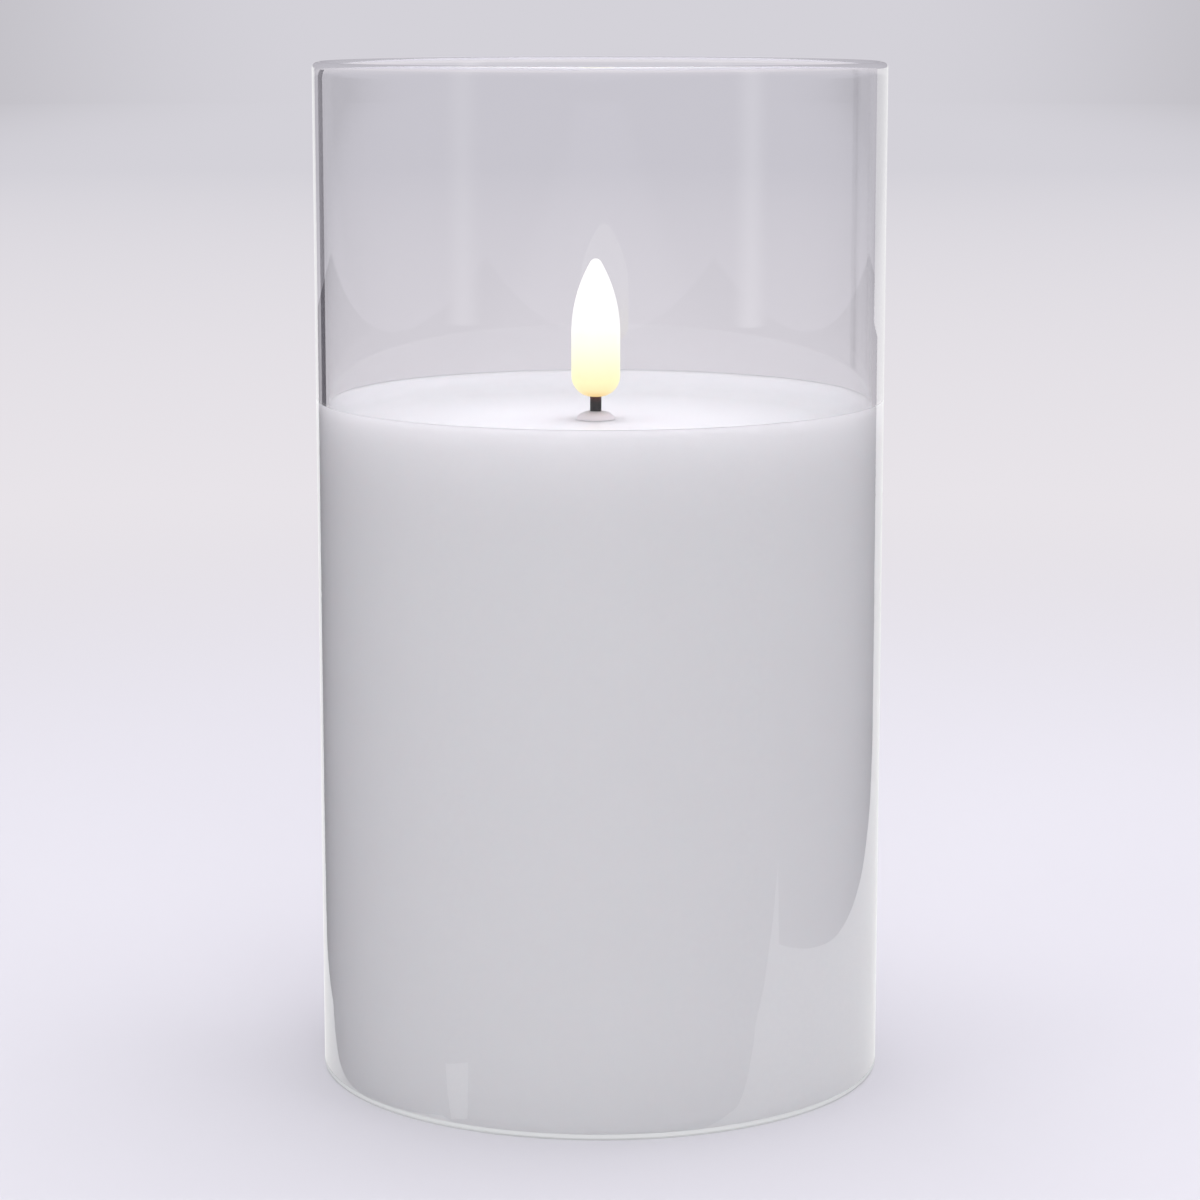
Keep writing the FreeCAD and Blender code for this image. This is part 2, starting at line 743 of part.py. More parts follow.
def contact_tab(row_y):
    x = bay_end_x - seat_gap - contact_thick / 2
    return block(x, row_y, contact_thick, contact_tab_width, contact_top_z - contact_thick, tab_top_z)


def positive_contact():
    return contact_plate(1, cell_rows[0], True).fuse(contact_tab(cell_rows[0])).removeSplitter()


def negative_contact():
    return contact_plate(1, cell_rows[1], False).fuse(contact_tab(cell_rows[1])).removeSplitter()


def bridge_contact():
    """One strip at the left that joins the two cells in series."""
    plate = contact_plate(-1, cell_rows[0], False).fuse(contact_plate(-1, cell_rows[1], True))
    x = -(bay_end_x - seat_gap - contact_thick / 2)
    link = block(x, bay_centre_y, contact_thick, cell_pitch, contact_bottom_z, cell_axis_z - contact_rib)
    return plate.fuse(link).removeSplitter()


def inner_cover():
    """Round cap over the bay and the board, screwed to the three bosses."""
    cap = upright(cover_r, 0, 0, plate_top, cover_top_z)
    top_rim = [edge for edge in cap.Edges if is_ring(edge, V(cover_r, 0, cover_top_z))]
    cap = cap.makeFillet(cover_round, top_rim)
    hollow = upright(cover_bore_r, 0, 0, plate_top - over, cover_roof_z)
    cap = cap.cut(hollow)
    low = cover_roof_z - over
    high = cover_top_z + over
    for x, y in boss_places():
        cap = cap.cut(upright(cover_screw_d / 2 + screw_hole_clearance, x, y, low, high))
    return cap.cut(upright(cover_wire_hole_d / 2, flame_off_centre, 0, low, high))


def screw(x, y, seat_z, diameter, length, head_d, head_height):
    """Pan-head screw with its head on seat_z and its pointed shank below, slotted across."""
    r = diameter / 2
    head_r = head_d / 2
    brow = head_height * screw_brow_share
    outline = [
        line(V(0, 0, -length), V(r, 0, diameter - length)),
        line(V(r, 0, diameter - length), V(r, 0, 0)),
        line(V(r, 0, 0), V(head_r, 0, 0)),
        line(V(head_r, 0, 0), V(head_r, 0, head_height - brow)),
        line(V(head_r, 0, head_height - brow), V(head_r - brow, 0, head_height)),
        line(V(head_r - brow, 0, head_height), V(0, 0, head_height)),
        line(V(0, 0, head_height), V(0, 0, -length)),
    ]
    solid = turned(outline)
    slot = block(0, 0, head_d + over, screw_slot_width, head_height - screw_slot_depth, head_height + over)
    solid = solid.cut(slot)
    solid.translate(V(x, y, seat_z))
    return solid


def cover_screws():
    return Part.makeCompound([screw(x, y, cover_top_z + seat_gap, cover_screw_d, cover_screw_length - seat_gap,
                                    cover_screw_head_d, cover_screw_head_height) for x, y in boss_places()])


def board_screws():
    return Part.makeCompound([screw(x, y, board_top_z + seat_gap, board_screw_d, board_screw_length - seat_gap,
                                    board_screw_head_d, board_screw_head_height) for x, y in post_places()])


def switch_pin_places():
    first = -(switch_pin_count - 1) * switch_pin_pitch / 2
    return [(first + index * switch_pin_pitch, switch_y) for index in range(switch_pin_count)]


def circuit_board():
    """Board on two posts, drilled for its screws and the switch's pins."""
    board = rounded_block(0, board_centre_y, board_length, board_width, board_bottom_z, board_top_z,
                          board_round)
    low = board_bottom_z - over
    high = board_top_z + over
    for x, y in post_places():
        board = board.cut(upright(board_screw_d / 2 + screw_hole_clearance, x, y, low, high))
    for x, y in switch_pin_places():
        board = board.cut(upright(switch_pin_d / 2 + seat_gap, x, y, low, high))
    return board


def switch_case():
    """Folded metal case of the slide switch, hung under the board, open below for the knob."""
    top = board_bottom_z
    bottom = top - switch_height
    case = block(0, switch_y, switch_length, switch_width, bottom, top)
    cavity = block(0, switch_y, switch_length - 2 * switch_shell, switch_width - 2 * switch_shell,
                   bottom + switch_shell, top - switch_shell)
    window = block(0, switch_y, 2 * switch_step + knob_length + 2 * knob_slide_gap,
                   knob_width + 2 * knob_slide_gap, bottom - over, bottom + switch_shell + over)
    case = case.cut(cavity).cut(window)
    for x, y in switch_pin_places():
        case = case.fuse(upright(switch_pin_d / 2, x, y, top - switch_shell, board_top_z + switch_shell))
    return case


def switch_knob():
    """Sliding knob with a grooved tip, drawn at its ON position."""
    cavity_floor = board_bottom_z - switch_height + switch_shell
    flange_low = cavity_floor + knob_slide_gap
    flange_high = flange_low + knob_flange_thick
    tip_z = plate_bottom + knob_tip_recess
    knob = block(switch_rest_x, switch_y, knob_length, knob_width, tip_z, flange_high)
    flange_width = switch_width - 2 * switch_shell - 2 * knob_slide_gap
    knob = knob.fuse(block(switch_rest_x, switch_y, knob_flange_length, flange_width, flange_low, flange_high))
    for index in (-1, 0, 1):
        groove_x = switch_rest_x + index * knob_length / 4
        knob = knob.cut(block(groove_x, switch_y, knob_groove, knob_width + over,
                              tip_z - over, tip_z + knob_groove))
    return knob.removeSplitter()


def timer_chip():
    """Flat eight-legged chip with bent legs."""
    x = board_length * chip_x_share
    y = board_centre_y + board_width * front_row_share
    low = board_top_z + chip_leg_thick
    body = block(x, y, chip_length, chip_width, low, low + chip_height)
    first = -(chip_leg_count - 1) * chip_leg_pitch / 2
    for index in range(chip_leg_count):
        leg_x = x + first + index * chip_leg_pitch
        foot = block(leg_x, y, chip_leg_width, chip_width + 2 * chip_leg_reach, board_top_z,
                     board_top_z + chip_leg_thick)
        hollow = block(leg_x, y, chip_leg_width + over, chip_width, board_top_z - over,
                       board_top_z + chip_leg_thick)
        body = body.fuse(foot.cut(hollow))
        for side in (-1, 1):
            knee_y = y + side * (chip_width / 2 + chip_leg_thick / 2)
            body = body.fuse(block(leg_x, knee_y, chip_leg_width, chip_leg_thick,
                                   board_top_z, low + chip_height / 2))
    return body.removeSplitter()


def timer_crystal():
    """Small round can lying on the board, with two leads bent down to it."""
    x = board_length * crystal_x_share
    y = board_centre_y + board_width * front_row_share
    axis_z = board_top_z + crystal_d / 2 + seat_gap
    can = rod(crystal_d / 2, V(x - crystal_length / 2, y, axis_z), V(x + crystal_length / 2, y, axis_z))
    end_x = x - crystal_length / 2
    for side in (-1, 1):
        lead_y = y + side * crystal_lead_pitch / 2
        lead_z = board_top_z + crystal_lead_d / 2
        tip = V(end_x - crystal_lead_length, lead_y, lead_z)
        can = can.fuse(rod(crystal_lead_d / 2, tip, V(end_x + crystal_lead_d, lead_y, axis_z)))
    return can


def capacitor():
    """Upright round can with a crimped waist near its foot."""
    r = capacitor_d / 2
    groove = capacitor_groove
    points = [
        V(0, 0, 0),
        V(r, 0, 0),
        V(r, 0, 2 * groove),
        V(r - groove, 0, 3 * groove),
        V(r, 0, 4 * groove),
        V(r, 0, capacitor_height - groove),
        V(r - groove, 0, capacitor_height),
        V(0, 0, capacitor_height),
    ]
    can = turned(polygon_edges(points))
    x = board_length * capacitor_x_share
    y = board_centre_y + board_width * front_row_share
    can.translate(V(x, y, board_top_z))
    return can


def resistors():
    x = board_length * resistor_x_share
    y = board_centre_y + board_width * front_row_share
    first = block(x, y - resistor_pitch / 2, resistor_length, resistor_width, board_top_z,
                  board_top_z + resistor_height)
    second = block(x, y + resistor_pitch / 2, resistor_length, resistor_width, board_top_z,
                   board_top_z + resistor_height)
    return Part.makeCompound([first, second])


def wire(points, radius):
    """Tube of straight runs joined by arcs, each arc as large as its two runs allow."""
    edges = []
    start = points[0]
    for before, corner, after in zip(points, points[1:], points[2:]):
        run_in = corner - before
        run_out = after - corner
        along_in = V(run_in).normalize()
        along_out = V(run_out).normalize()
        turn = along_in.getAngle(along_out)
        setback = arc_run_share * min(run_in.Length, run_out.Length)
        bend_r = setback / math.tan(turn / 2)
        enter = corner - along_in * setback
        leave = corner + along_out * setback
        inward = (along_out - along_in).normalize()
        middle = corner + inward * (bend_r / math.cos(turn / 2) - bend_r)
        edges.append(line(start, enter))
        edges.append(arc(enter, middle, leave))
        start = leave
    edges.append(line(start, points[-1]))
    path = Part.Wire(edges)
    first_run = (points[1] - points[0]).normalize()
    section = Part.Wire(Part.makeCircle(radius, points[0], first_run))
    tube = path.makePipeShell([section], True, True)
    share = tube.Volume / (math.pi * radius ** 2 * path.Length)
    print("wire: length %.1f mm, volume share of its section times length %.3f" % (path.Length, share))
    return tube


def lamp_wire(side):
    """One of the lamp's wires: down through the sleeve and the cover to the board."""
    x = flame_off_centre + side * lamp_wire_pitch / 2
    pad_x = board_length * (lamp_pad_share * side - lamp_pad_share)
    pad_y = board_centre_y + board_width * pad_front_share
    drop_z = collar_top_z - wick_sunk
    points = [
        V(x, 0, lamp_seat_z - wire_end_gap),
        V(x, 0, drop_z),
        V(x + side * lamp_wire_d, 0, (drop_z + cover_top_z) / 2),
        V(x, 0, cover_top_z),
        V((x + pad_x) / 2, pad_y / 2, bay_roof_z + battery_wire_d * 3),
        V(pad_x, pad_y, bay_roof_z),
        V(pad_x, pad_y, board_top_z + wire_end_gap),
    ]
    return wire(points, lamp_wire_d / 2)


def battery_wire(row_y, pad_side):
    """Lead from a contact's tab over the bay to the board's edge."""
    tab_x = bay_end_x - seat_gap - contact_thick / 2 - contact_tab_width
    pad_x = board_length * (battery_pad_share + lamp_pad_share * pad_side)
    pad_y = board_centre_y + board_width * pad_front_share
    high_z = tab_top_z + contact_tab_width
    points = [
        V(bay_end_x - seat_gap - contact_thick / 2, row_y, tab_top_z + wire_end_gap),
        V(bay_end_x - seat_gap - contact_thick / 2, row_y, high_z),
        V((tab_x + pad_x) / 2, (row_y + pad_y) / 2, high_z),
        V(pad_x, pad_y, bay_roof_z),
        V(pad_x, pad_y, board_top_z + wire_end_gap),
    ]
    return wire(points, battery_wire_d / 2)


save(glass_cylinder(), "glass_cylinder")
save(wax_candle(), "wax_candle")
save(flame_bulb(), "flame_bulb")
save(flame_lamp(), "flame_lamp")
save(wick_sleeve(), "wick_sleeve")
save(wick_collar(), "wick_collar")
save(lamp_wire(1), "lamp_wire_red")
save(lamp_wire(-1), "lamp_wire_black")
save(sealing_bead(), "sealing_bead")
save(base_housing(), "base_housing")
save(inner_cover(), "inner_cover")
save(cover_screws(), "cover_screws")
save(battery_door(), "battery_door")
save(front_cell(), "battery_cell_front")
save(back_cell(), "battery_cell_back")
save(positive_contact(), "positive_contact")
save(negative_contact(), "negative_contact")
save(contact_spring(1, cell_rows[1]), "negative_spring")
save(bridge_contact(), "bridge_contact")
save(contact_spring(-1, cell_rows[0]), "bridge_spring")
save(battery_wire(cell_rows[0], 1), "battery_wire_red")
save(battery_wire(cell_rows[1], -1), "battery_wire_black")
save(circuit_board(), "circuit_board")
save(board_screws(), "board_screws")
save(timer_chip(), "timer_chip")
save(timer_crystal(), "timer_crystal")
save(capacitor(), "capacitor")
save(resistors(), "resistors")
save(switch_case(), "switch_case")
save(switch_knob(), "switch_knob")
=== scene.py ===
# %% [markdown]
# # A flameless candle in a glass cylinder
# The real object is a white wax candle with a lit flame bulb. It stands in an open glass cylinder, and a
# battery base closes the glass from below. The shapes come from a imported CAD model, which is loaded as a
# fixed frame in metres. This lesson dresses it: a camera and a small studio, one material for each real
# material, and the small things that a CAD model leaves out, such as moulded words, print and solder.

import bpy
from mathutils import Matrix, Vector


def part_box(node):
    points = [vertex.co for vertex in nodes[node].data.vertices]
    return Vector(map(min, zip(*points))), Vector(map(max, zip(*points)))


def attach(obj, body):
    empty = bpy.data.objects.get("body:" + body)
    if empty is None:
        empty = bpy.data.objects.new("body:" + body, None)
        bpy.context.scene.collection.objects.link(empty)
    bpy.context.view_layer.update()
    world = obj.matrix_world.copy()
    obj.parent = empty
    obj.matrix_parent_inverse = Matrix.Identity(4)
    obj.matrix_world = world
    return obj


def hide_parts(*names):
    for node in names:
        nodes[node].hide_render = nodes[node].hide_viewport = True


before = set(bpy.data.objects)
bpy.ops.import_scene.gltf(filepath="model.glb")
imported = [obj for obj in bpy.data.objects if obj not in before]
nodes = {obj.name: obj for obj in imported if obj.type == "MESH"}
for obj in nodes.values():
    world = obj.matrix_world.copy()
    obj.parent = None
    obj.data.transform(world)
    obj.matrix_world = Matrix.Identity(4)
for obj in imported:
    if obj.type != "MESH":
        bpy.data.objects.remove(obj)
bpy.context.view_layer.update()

# %% Modules and the unit
import math

import bmesh
import bpy
from mathutils import Matrix, Vector

MM = 0.001
scene = bpy.context.scene
scene.view_settings.view_transform = "Standard"
print("one millimetre is", MM, "m")

# %% [markdown]
# ## Camera
# A photograph of a round object holds its own camera: the rim, the crest of the wax and the foot are
# three circles seen as ellipses, and one lens and one height give all three. Here that is a long lens,
# 62 cm away, a little above the rim and looking down by under ten degrees.

# %% Camera
PHOTO_PIXELS = 1200
FOCAL_PIXELS = 3527
SENSOR_MM = 36.0
CAMERA_DISTANCE = 620.5 * MM
CAMERA_HEIGHT = 189.65 * MM
CAMERA_PITCH = 9.67
LEVEL_TILT = 90.0

camera_data = bpy.data.cameras.new("photo_camera")
camera_data.sensor_width = SENSOR_MM
camera_data.lens = SENSOR_MM * FOCAL_PIXELS / PHOTO_PIXELS
camera = bpy.data.objects.new("photo_camera", camera_data)
camera.location = (0, -CAMERA_DISTANCE, CAMERA_HEIGHT)
camera.rotation_euler = (math.radians(LEVEL_TILT - CAMERA_PITCH), 0, 0)
scene.collection.objects.link(camera)
scene.camera = camera
print("lens", round(camera_data.lens, 1), "mm")


# %% [markdown]
# ## Colours and nodes
# Colours are written as the sRGB hex values that one reads off a screen. Cycles mixes light in linear
# values, so one function turns the one into the other. A second function adds a node: its inputs are
# given by name, as numbers, colours or the output of another node, and the rest are its own settings.

# %% Colours
def linear(channel):
    """One sRGB channel from 0 to 1 as a linear value."""
    if channel <= 0.04045:
        return channel / 12.92
    return ((channel + 0.055) / 1.055) ** 2.4


def colour(hex_code):
    """An sRGB hex colour such as #F0EEF4 as linear red, green, blue and full opacity."""
    channels = [int(hex_code[at:at + 2], 16) / 255 for at in (1, 3, 5)]
    return (*[linear(channel) for channel in channels], 1.0)


print("mid grey is", [round(part, 3) for part in colour("#808080")])


# %% Nodes
def add(tree, kind, inputs=None, **settings):
    """Add a node to a tree, with its settings, its input values and its links."""
    made = tree.nodes.new(kind)
    for name, value in settings.items():
        setattr(made, name, value)
    for name, value in (inputs or {}).items():
        socket = made.inputs[name]
        if isinstance(value, bpy.types.NodeSocket):
            tree.links.new(value, socket)
        else:
            socket.default_value = value
    return made


def new_tree(name):
    """A new material with an empty node tree."""
    material = bpy.data.materials.new(name)
    material.use_nodes = True
    material.node_tree.nodes.clear()
    return material, material.node_tree


def graded(tree, value, stops):
    """A colour ramp over a value from 0 to 1, from stops of (position, hex colour)."""
    made = add(tree, "ShaderNodeValToRGB", {"Fac": value})
    ramp = made.color_ramp
    while len(ramp.elements) < len(stops):
        ramp.elements.new(0.5)
    for element, (position, hex_code) in zip(ramp.elements, stops):
        element.position = position
        element.color = colour(hex_code)
    return made


def output(tree, surface, **others):
    """End a material's tree in its output."""
    add(tree, "ShaderNodeOutputMaterial", {"Surface": surface, **others})


def per(size_mm):
    """The noise scale that gives features of a real size, in a frame of metres."""
    return 1 / (size_mm * MM)


def axes(tree):
    """A surface's real place in the frame, as its X, Y and Z outputs."""
    place = add(tree, "ShaderNodeTexCoord")
    return add(tree, "ShaderNodeSeparateXYZ", {"Vector": place.outputs["Object"]}).outputs


def away(tree, split):
    """The distance from the upright axis, from the X and Y outputs of a place."""
    level = add(tree, "ShaderNodeCombineXYZ", {"X": split["X"], "Y": split["Y"]})
    length = add(tree, "ShaderNodeVectorMath", {0: level.outputs["Vector"]}, operation="LENGTH")
    return length.outputs["Value"]


print("features of 2 mm need a scale of", per(2))

# %% [markdown]
# ## Studio
# Glass has no colour of its own, so what stands round it draws its edges. Through its glass the photo
# shows a pale lavender-grey, so the room has that tone, with a soft spot of light and a paler ceiling.
# Plain rays and rays that have crossed the glass see the same room, so nothing shows through the glass
# that doesn't show beside it. Only mirrored rays see a plain and darker room.

# %% Room
ROOM_HEX = "#C2C0C6"
ROOM_SPOT_HEX = "#D4D2D9"
ROOM_LIGHT_HEX = "#F4F4F5"
ROOM_LIGHT = 0.62
ROOM_MIRRORED_HEX = "#B0ADB5"
SPOT_EDGE = 0.982
SPOT_MIDDLE = 0.9975
CEILING_HEX = "#F0F0F3"
CEILING_LOW = 0.08
CEILING_HIGH = 0.45

room = bpy.data.worlds.new("pale_room")
scene.world = room
room.use_nodes = True
room_tree = room.node_tree
room_tree.nodes.clear()
path = add(room_tree, "ShaderNodeLightPath")
seen = add(room_tree, "ShaderNodeMath", {0: path.outputs["Is Camera Ray"],
                                         1: path.outputs["Is Transmission Ray"]}, operation="MAXIMUM")
lighting = add(room_tree, "ShaderNodeBackground", {"Color": colour(ROOM_LIGHT_HEX), "Strength": ROOM_LIGHT})
direction = add(room_tree, "ShaderNodeTexCoord")
towards = add(room_tree, "ShaderNodeSeparateXYZ", {"Vector": direction.outputs["Generated"]})
overhead = add(room_tree, "ShaderNodeMapRange", {"Value": towards.outputs["Z"], "From Min": CEILING_LOW,
                                                 "From Max": CEILING_HIGH}, interpolation_type="SMOOTHSTEP")
spot = add(room_tree, "ShaderNodeMapRange", {"Value": towards.outputs["Y"], "From Min": SPOT_EDGE,
                                             "From Max": SPOT_MIDDLE}, interpolation_type="SMOOTHSTEP")
wall_tone = add(room_tree, "ShaderNodeMix", {"Factor": spot.outputs["Result"], "A": colour(ROOM_HEX),
                                             "B": colour(ROOM_SPOT_HEX)}, data_type="RGBA")
tone = add(room_tree, "ShaderNodeMix", {
    "Factor": overhead.outputs["Result"], "A": wall_tone.outputs["Result"],
    "B": colour(CEILING_HEX)}, data_type="RGBA")
backdrop = add(room_tree, "ShaderNodeBackground", {"Color": tone.outputs["Result"], "Strength": 1.0})
mirrored = add(room_tree, "ShaderNodeBackground", {"Color": colour(ROOM_MIRRORED_HEX), "Strength": 1.0})
unseen = add(room_tree, "ShaderNodeMixShader", {"Fac": path.outputs["Is Glossy Ray"],
                                                1: lighting.outputs[0], 2: mirrored.outputs[0]})
chosen = add(room_tree, "ShaderNodeMixShader", {"Fac": seen.outputs[0], 1: unseen.outputs[0],
                                                2: backdrop.outputs[0]})
add(room_tree, "ShaderNodeOutputWorld", {"Surface": chosen.outputs[0]})
print("room light", ROOM_LIGHT)

# %% [markdown]
# The floor is matt paint near the candle, where it has to catch the shadow. Farther off it glows in a
# painted pool of light, paler in its middle, that fades into the room's colour with distance and is darker
# to the sides, so that no horizon shows through the empty half of the glass. It is seen only from above:
# from below it lets the eye and the light through, so the underside can be looked at. What the glass
# mirrors of the ground stands on cards of its own, further down.

# %% Floor
FLOOR_RADIUS = 6.0
FLOOR_NEAR = 0.18
FLOOR_FAR = 0.75
FLOOR_SIDES = 96
FLOOR_HEX = "#DAD9DE"
FLOOR_MIDDLE_HEX = "#E8E4E9"
LIGHT_POOL_FAR = 3.4
SPOT_NEAR = 0.47
SPOT_FAR = 1.27

floor_mesh = bpy.data.meshes.new("floor")
floor_form = bmesh.new()
bmesh.ops.create_circle(floor_form, cap_ends=True, radius=FLOOR_RADIUS, segments=FLOOR_SIDES)
floor_form.to_mesh(floor_mesh)
floor_form.free()
floor = bpy.data.objects.new("floor", floor_mesh)
scene.collection.objects.link(floor)
floor.visible_diffuse = False
floor.visible_glossy = False
floor.visible_shadow = False

floor_paint, tree = new_tree("matt_painted_floor")
split = axes(tree)
reach = away(tree, split)
fade = add(tree, "ShaderNodeMapRange", {"Value": reach, "From Min": FLOOR_NEAR, "From Max": FLOOR_FAR},
           interpolation_type="SMOOTHSTEP")
# The far floor's glow is a painted pool of light: paler near, fading with distance, darker to the sides.
light_pool_fade = add(tree, "ShaderNodeMapRange", {"Value": reach, "From Min": FLOOR_FAR, "From Max": LIGHT_POOL_FAR})
light_pool_colour = add(tree, "ShaderNodeMix", {"Factor": light_pool_fade.outputs["Result"], "A": colour(FLOOR_MIDDLE_HEX),
                                          "B": colour(ROOM_SPOT_HEX)}, data_type="RGBA")
aside = add(tree, "ShaderNodeMath", {0: split["X"], 1: split["X"]}, operation="MULTIPLY")
spot = add(tree, "ShaderNodeMapRange", {"Value": aside.outputs[0], "From Min": SPOT_NEAR ** 2,
                                        "From Max": SPOT_FAR ** 2}, interpolation_type="SMOOTHSTEP")
tone = add(tree, "ShaderNodeMix", {"Factor": spot.outputs["Result"], "A": light_pool_colour.outputs["Result"],
                                   "B": colour(ROOM_HEX)}, data_type="RGBA")
near = add(tree, "ShaderNodeBsdfDiffuse", {"Color": colour(FLOOR_HEX)})
far = add(tree, "ShaderNodeEmission", {"Color": tone.outputs["Result"], "Strength": 1.0})
path = add(tree, "ShaderNodeLightPath")
seen = add(tree, "ShaderNodeMath", {0: path.outputs["Is Camera Ray"], 1: path.outputs["Is Transmission Ray"]},
           operation="MAXIMUM")
share = add(tree, "ShaderNodeMath", {0: seen.outputs[0], 1: fade.outputs["Result"]}, operation="MULTIPLY")
faded = add(tree, "ShaderNodeMixShader", {"Fac": share.outputs[0], 1: near.outputs[0], 2: far.outputs[0]})
sides = add(tree, "ShaderNodeNewGeometry")
clear_below = add(tree, "ShaderNodeBsdfTransparent")
one_sided = add(tree, "ShaderNodeMixShader", {"Fac": sides.outputs["Backfacing"], 1: faded.outputs[0],
                                              2: clear_below.outputs[0]})
output(tree, one_sided.outputs[0])
floor_mesh.materials.append(floor_paint)
print("floor fades from", FLOOR_NEAR, "to", FLOOR_FAR, "m")


# %% Lamps
LAMP_AIM = (0, 0, 0.09)


def hung(name, data, place):
    """A lamp at a place. Only its light is seen, and not the lamp."""
    lamp = bpy.data.objects.new(name, data)
    lamp.location = place
    for ray in ("camera", "glossy", "transmission"):
        setattr(lamp, "visible_" + ray, False)
    scene.collection.objects.link(lamp)
    return lamp


def soft_box(name, place, width, height, watts, hex_code):
    """A flat lamp of a real size, turned to face the middle of the candle."""
    data = bpy.data.lights.new(name, "AREA")
    data.shape = "RECTANGLE"
    data.size = width
    data.size_y = height
    data.energy = watts
    data.color = colour(hex_code)[:3]
    lamp = hung(name, data, place)
    lamp.rotation_euler = (Vector(LAMP_AIM) - Vector(place)).to_track_quat("-Z", "Y").to_euler()


# Name, place and size in metres, watts and colour
LAMPS = (
    ("top_soft_box", (0.06, 0.15, 1.1), 1.0, 1.0, 9.0, "#F9F5FF"),
    ("front_soft_box", (0.15, -1.3, 0.6), 0.8, 0.8, 4.8, "#FFFFFF"),
    ("left_soft_box", (-0.85, -0.62, 0.45), 0.5, 0.9, 1.2, "#FFFFFF"),
    ("right_soft_box", (0.90, -0.52, 0.45), 0.5, 0.9, 0.85, "#FFFFFF"),
)
for values in LAMPS:
    soft_box(*values)


# %% [markdown]
# What the glass mirrors stands on its own cards. The photo's mirrored edges, followed back from the
# upright wall to the ground, give a white sheet that runs backwards under the candle, with straight edges:
# it draws the white line down each side of the wax, and the two pale wedges near the foot. The ground
# beside it is dark, which shades the wall towards its edges. A soft box at each side gives a faint upright
# streak. Each card is seen by one kind of ray only.

# %% Cards
def only_for(thing, kind):
    """Hide a thing from every kind of ray but one."""
    for ray in ("camera", "diffuse", "glossy", "transmission", "shadow", "volume_scatter"):
        setattr(thing, "visible_" + ray, ray == kind)


def card(name, corners, hex_code, strength=1.0, soft_width=0.0, kind="glossy"):
    """A flat glowing card from its corners, which can fade from its own middle over a soft width."""
    mesh = bpy.data.meshes.new(name)
    middle = sum((Vector(corner) for corner in corners), Vector()) / len(corners)
    mesh.from_pydata([Vector(corner) - middle for corner in corners], [], [range(len(corners))])
    made = bpy.data.objects.new(name, mesh)
    made.location = middle
    scene.collection.objects.link(made)
    only_for(made, kind)
    surface, tree = new_tree(name)
    glow = add(tree, "ShaderNodeEmission", {"Color": colour(hex_code), "Strength": strength})
    gone = add(tree, "ShaderNodeBsdfTransparent")
    if soft_width:
        rim = add(tree, "ShaderNodeMapRange", {"Value": away(tree, axes(tree)), "From Max": soft_width},
                  interpolation_type="SMOOTHSTEP")
        through = rim.outputs["Result"]
    else:
        path = add(tree, "ShaderNodeLightPath")
        mirrored = add(tree, "ShaderNodeMath", {0: path.outputs["Glossy Depth"], 1: 0.5},
                       operation="LESS_THAN")
        through = mirrored.outputs[0]
    mixed = add(tree, "ShaderNodeMixShader", {"Fac": through, 1: glow.outputs[0], 2: gone.outputs[0]})
    output(tree, mixed.outputs[0])
    mesh.materials.append(surface)
    return made


def upright(centre, width, height, turn):
    """Corners of an upright card over a point of the ground, turned about it."""
    reach = Vector((math.cos(math.radians(turn)), math.sin(math.radians(turn)), 0)) * width / 2
    foot = Vector(centre)
    rise = Vector((0, 0, height))
    return [foot - reach, foot + reach, foot + reach + rise, foot - reach + rise]


# %% Mirrored ground and boxes
SHEET_DEPTH = -0.5 * MM
GROUND_DEPTH = -1.0 * MM
GROUND_REACH = 1.5
BACK_Y = 1.2
BACK_HEIGHT = 0.2
SHEET_MM = ((-34, -45), (36, -52), (85, -68), (139, -75), (214, -82), (145, -64), (144, 14), (153, 96),
            (167, 172), (192, 239), (282, 395), (516, 784), (763, 1200), (-490, 1200), (-125, 191), (-84, 70),
            (-76, 27), (-63, 3), (-52, -16))
CORNER_MM = ((-31, -46), (-29, -49), (-56, -68), (-61, -58))

sheet = [(x * MM, y * MM, SHEET_DEPTH) for x, y in SHEET_MM]
corner = [(x * MM, y * MM, SHEET_DEPTH) for x, y in CORNER_MM]
card("white_ground_sheet", sheet, "#FFFFFF")
card("white_sheet_corner", corner, "#FFFFFF")
card("white_back_sheet", upright((0.22, BACK_Y, SHEET_DEPTH), 1.42, BACK_HEIGHT, 0), "#FFFFFF")
card("dark_ground", [(x * GROUND_REACH, y * GROUND_REACH, GROUND_DEPTH) for x, y in
                     ((-1, -1), (1, -1), (1, 1), (-1, 1))], "#35323A")
card("left_box_front", upright((-0.85, -0.62, 0.045), 0.34, 0.75, -54), "#FFFFFF", 1.1, soft_width=0.17)
card("right_box_front", upright((0.90, -0.52, 0.045), 0.34, 0.75, 60), "#FFFFFF", 1.5, soft_width=0.17)

# %% [markdown]
# In the thin outer band of an empty glass wall the light turns round inside the wall, and leaves it again
# beside the candle. A dark strip behind the left edge gives that band its dark line. Only rays that
# were mirrored inside the glass see it, so it never shows through the glass by itself.

# %% Dark strip
STRIP_PLACE = (-0.5025, 0.8795, 0.0)
STRIP_WIDTH = 0.131
STRIP_HEIGHT = 0.25
STRIP_TURN = 27
STRIP_HEX = "#3A363F"

strip = upright(STRIP_PLACE, STRIP_WIDTH, STRIP_HEIGHT, STRIP_TURN)
card("dark_strip", strip, STRIP_HEX, kind="transmission")
print("dark strip", round(Vector(STRIP_PLACE).length, 2), "m behind and to the left of the candle")


# %% [markdown]
# ## Giving a piece its material
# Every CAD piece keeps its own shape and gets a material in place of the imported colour. A material is
# laid out in the frame's own metres, because a CAD piece sits at the origin: its Object coordinates are
# real places on the candle, so a pattern can start at a real height or end at a real edge.

# %% Dressing a piece
def dress(material, *names):
    """Give the named CAD pieces a material."""
    for name in names:
        mesh = nodes[name].data
        mesh.materials.clear()
        mesh.materials.append(material)
    print(material.name, "on", ", ".join(names))


